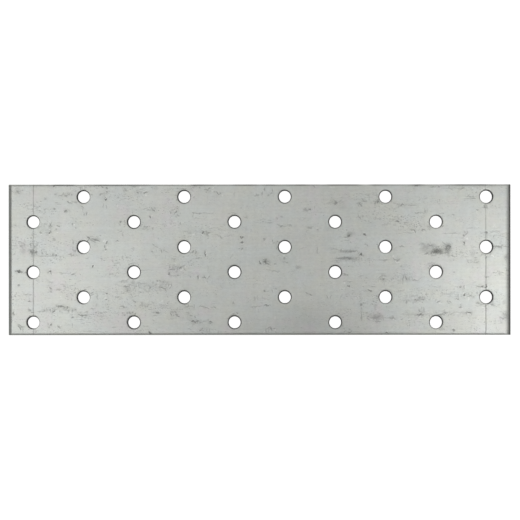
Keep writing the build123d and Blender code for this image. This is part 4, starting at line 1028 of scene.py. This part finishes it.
# flecks: small dark spots drawn out along the plate, thick in the scribbled patches and rare elsewhere
where = t.noise(t.vector("MULTIPLY", mm, (0.075, 0.24, 0.1)), 1.0, 3, 0.6, w=5.5)
calm = t.ramp(t.vector("LENGTH", t.vector("MULTIPLY", mm, (1.0, 0.0, 0.0))), 5.0, 60.0, 0.55, 1.0)
loose = t.math("MULTIPLY", t.ramp(where, 0.42, 0.66, 0.05, 0.45), calm)
mask = t.math("MAXIMUM", t.math("MULTIPLY", t.attribute("fleck"), 0.50), loose)
threshold = t.ramp(mask, 0.0, 0.8, 0.635, 0.500, smooth=False)


def fleck_field(at):
    """Spots and short wavy strokes, 0 to 1."""
    wide = t.noise(t.vector("MULTIPLY", at, (1.00, 2.00, 1.0)), 1.0, 2, 0.60, 0.25)
    fine = t.noise(t.vector("MULTIPLY", at, (2.30, 3.20, 1.5)), 1.0, 1, 0.5, w=2.2)
    both = t.math("ADD", t.math("MULTIPLY", wide, 0.65), t.math("MULTIPLY", fine, 0.35))
    return t.ramp(t.math("SUBTRACT", both, threshold), 0.0, 0.04), fine


flecks, fleck_fine = fleck_field(mm)
# the flecks moved aside: a painted highlight on the lit side of each pit
beside, _ = fleck_field(t.vector("ADD", mm, (0.28, 0.42, 0.0)))
flecks = t.math("MULTIPLY", flecks, t.ramp(mask, 0.0, 1.0, 0.26, 0.70, smooth=False))

# strokes: thin wavy rub marks, broken into short lengths
wander = t.noise(t.vector("MULTIPLY", mm, (0.30, 0.66, 0.3)), 1.0, 4, 0.62, 0.5, w=6.1)
stroke = t.ramp(t.math("ABSOLUTE", t.math("SUBTRACT", wander, 0.5)), 0.006, 0.030, 1.0, 0.0)
breaks = t.noise(t.vector("MULTIPLY", mm, (0.75, 1.05, 1.0)), 1.0, 2, 0.5, w=1.4)
stroke = t.math("MULTIPLY", stroke, t.ramp(breaks, 0.50, 0.60))
stroke = t.math("MULTIPLY", stroke, t.ramp(mask, 0.05, 0.80, 0.0, 0.60, smooth=False))
flecks = t.math("MAXIMUM", flecks, stroke)

# the marks placed one by one: bent ellipses with a ragged edge, each with a painted highlight beside it, a pale line on
# its raised side
bend = t.math("MULTIPLY", t.math("SUBTRACT", t.noise(t.vector("MULTIPLY", mm, (1.1, 1.1, 1.0)), 1.0, 1, 0.5, w=8.8), 0.5), 6.5)
ragged = t.math("MULTIPLY", t.math("SUBTRACT", fleck_fine, 0.5), 2.4)
nicks, highlight_beside, bright = 0.0, 0.0, 0.0
for number in range(5):
    parts = t.node("ShaderNodeSeparateXYZ")
    t.link(t.node("ShaderNodeAttribute", attribute_name=f"mark_{number + 1}").outputs["Vector"], parts.inputs[0])
    u, v, force = parts.outputs
    v = t.math("ADD", v, bend)
    u2 = t.math("MULTIPLY", u, u)
    inside = t.math("ADD", t.math("SQRT", t.math("ADD", u2, t.math("MULTIPLY", v, v))), ragged)
    # the BRIGHT layer: painted highlights beside the marks
    if number == 4:
        bright = t.math("MULTIPLY", t.ramp(inside, 0.70, 1.40, 1.0, 0.0), force)
        continue
    nicks = t.math("MAXIMUM", nicks, t.math("MULTIPLY", t.ramp(inside, 0.75, 1.35, 1.0, 0.0), force))
    # painted highlight: the same ellipse moved aside, on the mark's raised side
    aside = t.math("ADD", v, 2.3)
    inside = t.math("ADD", t.math("SQRT", t.math("ADD", u2, t.math("MULTIPLY", aside, aside))), ragged)
    highlight_beside = t.math("MAXIMUM", highlight_beside, t.math("MULTIPLY", t.ramp(inside, 0.75, 1.45, 1.0, 0.0), force))
nicks = t.math("MULTIPLY", nicks, 0.77, clamp=True)
smudge = t.math("MULTIPLY", t.attribute("soil"), t.ramp(fleck_fine, 0.36, 0.62, 0.36, 1.08))
scribe_line = t.math("MULTIPLY", t.attribute("scribe"), t.ramp(t.noise(t.vector("MULTIPLY", mm, (0.3, 0.35, 0.3)), 1.0, 3, 0.7), 0.38, 0.62, 0.20, 0.44))
dark = t.math("MAXIMUM", t.math("MAXIMUM", flecks, nicks), t.math("MAXIMUM", smudge, scribe_line), clamp=True)

# pale spots: loose spots of zinc rubbed bright, and painted highlights on the raised side of each fleck, beside each
# mark and at the BRIGHT spots
pale_noise = t.noise(t.vector("MULTIPLY", mm, (1.3, 1.7, 1.0)), 1.0, 2, 0.55, w=7.3)
pale = t.math("MULTIPLY", t.ramp(pale_noise, 0.66, 0.76), t.ramp(mask, 0.1, 0.6, 0.25, 1.0))
pale = t.math("MAXIMUM", pale, t.math("MULTIPLY", beside, t.ramp(mask, 0.0, 0.8, 0.15, 0.5)))
pale = t.math("MAXIMUM", pale, t.math("MULTIPLY", highlight_beside, 0.9))
pale = t.math("MAXIMUM", pale, t.math("MULTIPLY", bright, 1.5))

colour = t.mix(t.math("MULTIPLY", pale, 0.55, clamp=True), zinc, (0.84, 0.85, 0.82))
colour = t.mix(dark, colour, (0.105, 0.108, 0.100))

# cut walls: burnished land above, torn below, with scratches down the wall. Their near-black colours are partly the cut
# steel's own duller tone and partly painted shade
cut_and_shade = t.attribute("cut")
torn_a = t.attribute("torn")
down = t.noise(t.vector("MULTIPLY", mm, (5.0, 5.0, 0.35)), 1.0, 3, 0.6)
crumble = t.noise(mm, 4.2, 4, 0.65)
land = t.mix(down, (0.045, 0.046, 0.044), (0.095, 0.097, 0.093))
break_zone = t.mix(crumble, (0.035, 0.035, 0.034), (0.11, 0.108, 0.104))
wall_tone_and_shade = t.mix(t.ramp(torn_a, 0.35, 0.75), land, break_zone)
# painted shade: the dark colour of the hole rims' shaded sides, also laid on the darkened band along the cut edges
rim_shade_colour = t.mix(down, (0.046, 0.048, 0.045), (0.092, 0.094, 0.090))
colour = t.mix(t.ramp(cut_and_shade, 0.0, 0.5), colour, rim_shade_colour)
colour = t.mix(t.ramp(cut_and_shade, 0.5, 1.0), colour, wall_tone_and_shade)

rough = t.ramp(mottle, 0.25, 0.75, 0.285, 0.345, smooth=False)
rough = t.math("ADD", rough, t.math("MULTIPLY", dark, 0.16))
rough = t.math("ADD", rough, t.math("MULTIPLY", cut_and_shade, 0.30))
rough = t.math("ADD", rough, t.math("MULTIPLY", torn_a, 0.16))

# relief: skin-pass texture, rolling lines, pits under the flecks, tears on the cut walls
relief = t.math("ADD", t.math("MULTIPLY", grain, 0.35), t.math("MULTIPLY", mottle, 0.9))
relief = t.math("ADD", relief, t.math("MULTIPLY", rolling, 0.8))
relief = t.math("SUBTRACT", relief, t.math("MULTIPLY", flecks, 0.9))
relief = t.math("ADD", relief, t.math("MULTIPLY", t.math("MULTIPLY", crumble, torn_a), 6.0))
relief = t.math("ADD", relief, t.math("MULTIPLY", t.math("MULTIPLY", down, cut_and_shade), 1.5))
bump = t.node("ShaderNodeBump")
bump.inputs["Strength"].default_value = 0.55
bump.inputs["Distance"].default_value = 0.000012
t.link(relief, bump.inputs["Height"])

shader = t.node("ShaderNodeBsdfPrincipled")
t.link(t.ramp(cut_and_shade, 0.50, 0.95, 0.92, 0.20), shader.inputs["Metallic"])
t.link(colour, shader.inputs["Base Color"])
t.link(rough, shader.inputs["Roughness"])
t.link(bump.outputs["Normal"], shader.inputs["Normal"])
t.link(shader.outputs[0], t.node("ShaderNodeOutputMaterial").inputs["Surface"])
mesh.materials.append(steel)

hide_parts("mending_plate")
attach(plate, "root")

# ---------------------------------------------------------------- floor, light and camera
floor_mesh = bpy.data.meshes.new("floor")
floor_mesh.from_pydata([(-30, -30, -0.00003), (30, -30, -0.00003), (30, 30, -0.00003), (-30, 30, -0.00003)], [], [(0, 1, 2, 3)])
floor = bpy.data.objects.new("floor", floor_mesh)
bpy.context.scene.collection.objects.link(floor)
pale_floor = bpy.data.materials.new("pale_floor")
pale_floor.use_nodes = True
f = Nodes(pale_floor.node_tree)
base = f.node("ShaderNodeBsdfPrincipled")
base.inputs["Base Color"].default_value = (0.30, 0.30, 0.30, 1)
base.inputs["Roughness"].default_value = 0.9
base.inputs["Specular IOR Level"].default_value = 0.0
base.inputs["Emission Color"].default_value = (1.0, 1.0, 0.995, 1)
base.inputs["Emission Strength"].default_value = 0.96
f.link(base.outputs[0], f.node("ShaderNodeOutputMaterial").inputs["Surface"])
floor_mesh.materials.append(pale_floor)

world = bpy.data.worlds.new("studio")
bpy.context.scene.world = world
world.use_nodes = True
w = Nodes(world.node_tree)
way = w.vector("NORMALIZE", w.node("ShaderNodeTexCoord").outputs["Generated"])
# the soft glow of the studio's walls: direction as tilt from straight up and turn from +X, tightness, brightness
GLOWS = [
    (50, 90, 12.0, 0.25),
    (50, 270, 12.0, 0.21),
    (72, 90, 8.0, 0.64),
    (72, 180, 8.0, 0.60),
    (72, 270, 8.0, 0.25),
    (70, 135, 11.0, 0.60),
    (72, 315, 9.0, 0.85),
    (72, 225, 9.0, 0.40),
    (72, 45, 9.0, 0.45),
]
total = 0.0
for tilt, turn, tight, strength in GLOWS:
    tilt, turn = math.radians(tilt), math.radians(turn)
    aim = (math.sin(tilt) * math.cos(turn), math.sin(tilt) * math.sin(turn), math.cos(tilt))
    facing = w.vector("DOT_PRODUCT", way, aim)
    lobe = w.math("EXPONENT", w.math("MULTIPLY", w.math("SUBTRACT", facing, 1.0), tight))
    total = w.math("ADD", w.math("MULTIPLY", lobe, strength), total)
studio = w.node("ShaderNodeBackground")
studio.inputs["Color"].default_value = (1.0, 1.0, 0.985, 1.0)
w.link(total, studio.inputs["Strength"])
seen = w.node("ShaderNodeBackground")
seen.inputs["Color"].default_value = (1, 1, 1, 1)
seen.inputs["Strength"].default_value = 1.0
pick = w.node("ShaderNodeMixShader")
w.link(w.node("ShaderNodeLightPath").outputs["Is Camera Ray"], pick.inputs[0])
w.link(studio.outputs[0], pick.inputs[1])
w.link(seen.outputs[0], pick.inputs[2])
w.link(pick.outputs[0], w.node("ShaderNodeOutputWorld").inputs["Surface"])

# soft boxes hung over the plate, level: middle x, y, height, size along x and y, all in metres, and brightness
PANELS = [
    (-0.231, -0.097, 0.488, 0.230, 0.244, 0.710),
    (0.206, -0.068, 0.417, 0.118, 0.200, 1.475),
    (-0.180, 0.087, 0.590, 0.524, 0.430, 0.783),
    (0.303, 0.081, 0.316, 0.458, 0.334, 0.573),
    (-0.130, 0.338, 0.362, 0.342, 0.154, 0.155),
]
for number, (x, y, z, size_x, size_y, bright) in enumerate(PANELS):
    lamp = bpy.data.lights.new(f"soft_box_{number + 1}", "AREA")
    lamp.shape = "RECTANGLE"
    lamp.size, lamp.size_y = size_x, size_y
    lamp.energy = bright * math.pi * size_x * size_y
    hung = bpy.data.objects.new(f"soft_box_{number + 1}", lamp)
    hung.location = (x, y, z)
    bpy.context.scene.collection.objects.link(hung)

DISTANCE = 0.480  # from the front face to the lens
camera_data = bpy.data.cameras.new("camera")
camera_data.sensor_width = 36.0
PX_PER_MM = 2.512
camera_data.lens = 18.0 / (260.0 / PX_PER_MM * MM / DISTANCE)
camera_data.clip_start, camera_data.clip_end = 0.01, 100.0
camera = bpy.data.objects.new("camera", camera_data)
camera.location = ((260.0 - 259.60) / PX_PER_MM * MM, (259.75 - 260.0) / PX_PER_MM * MM, THICK * MM + DISTANCE)
camera.rotation_euler = (0.0, 0.0, -0.00074)
bpy.context.scene.collection.objects.link(camera)
bpy.context.scene.camera = camera
bpy.context.scene.view_settings.view_transform = "Standard"
bpy.context.scene.view_settings.look = "None"
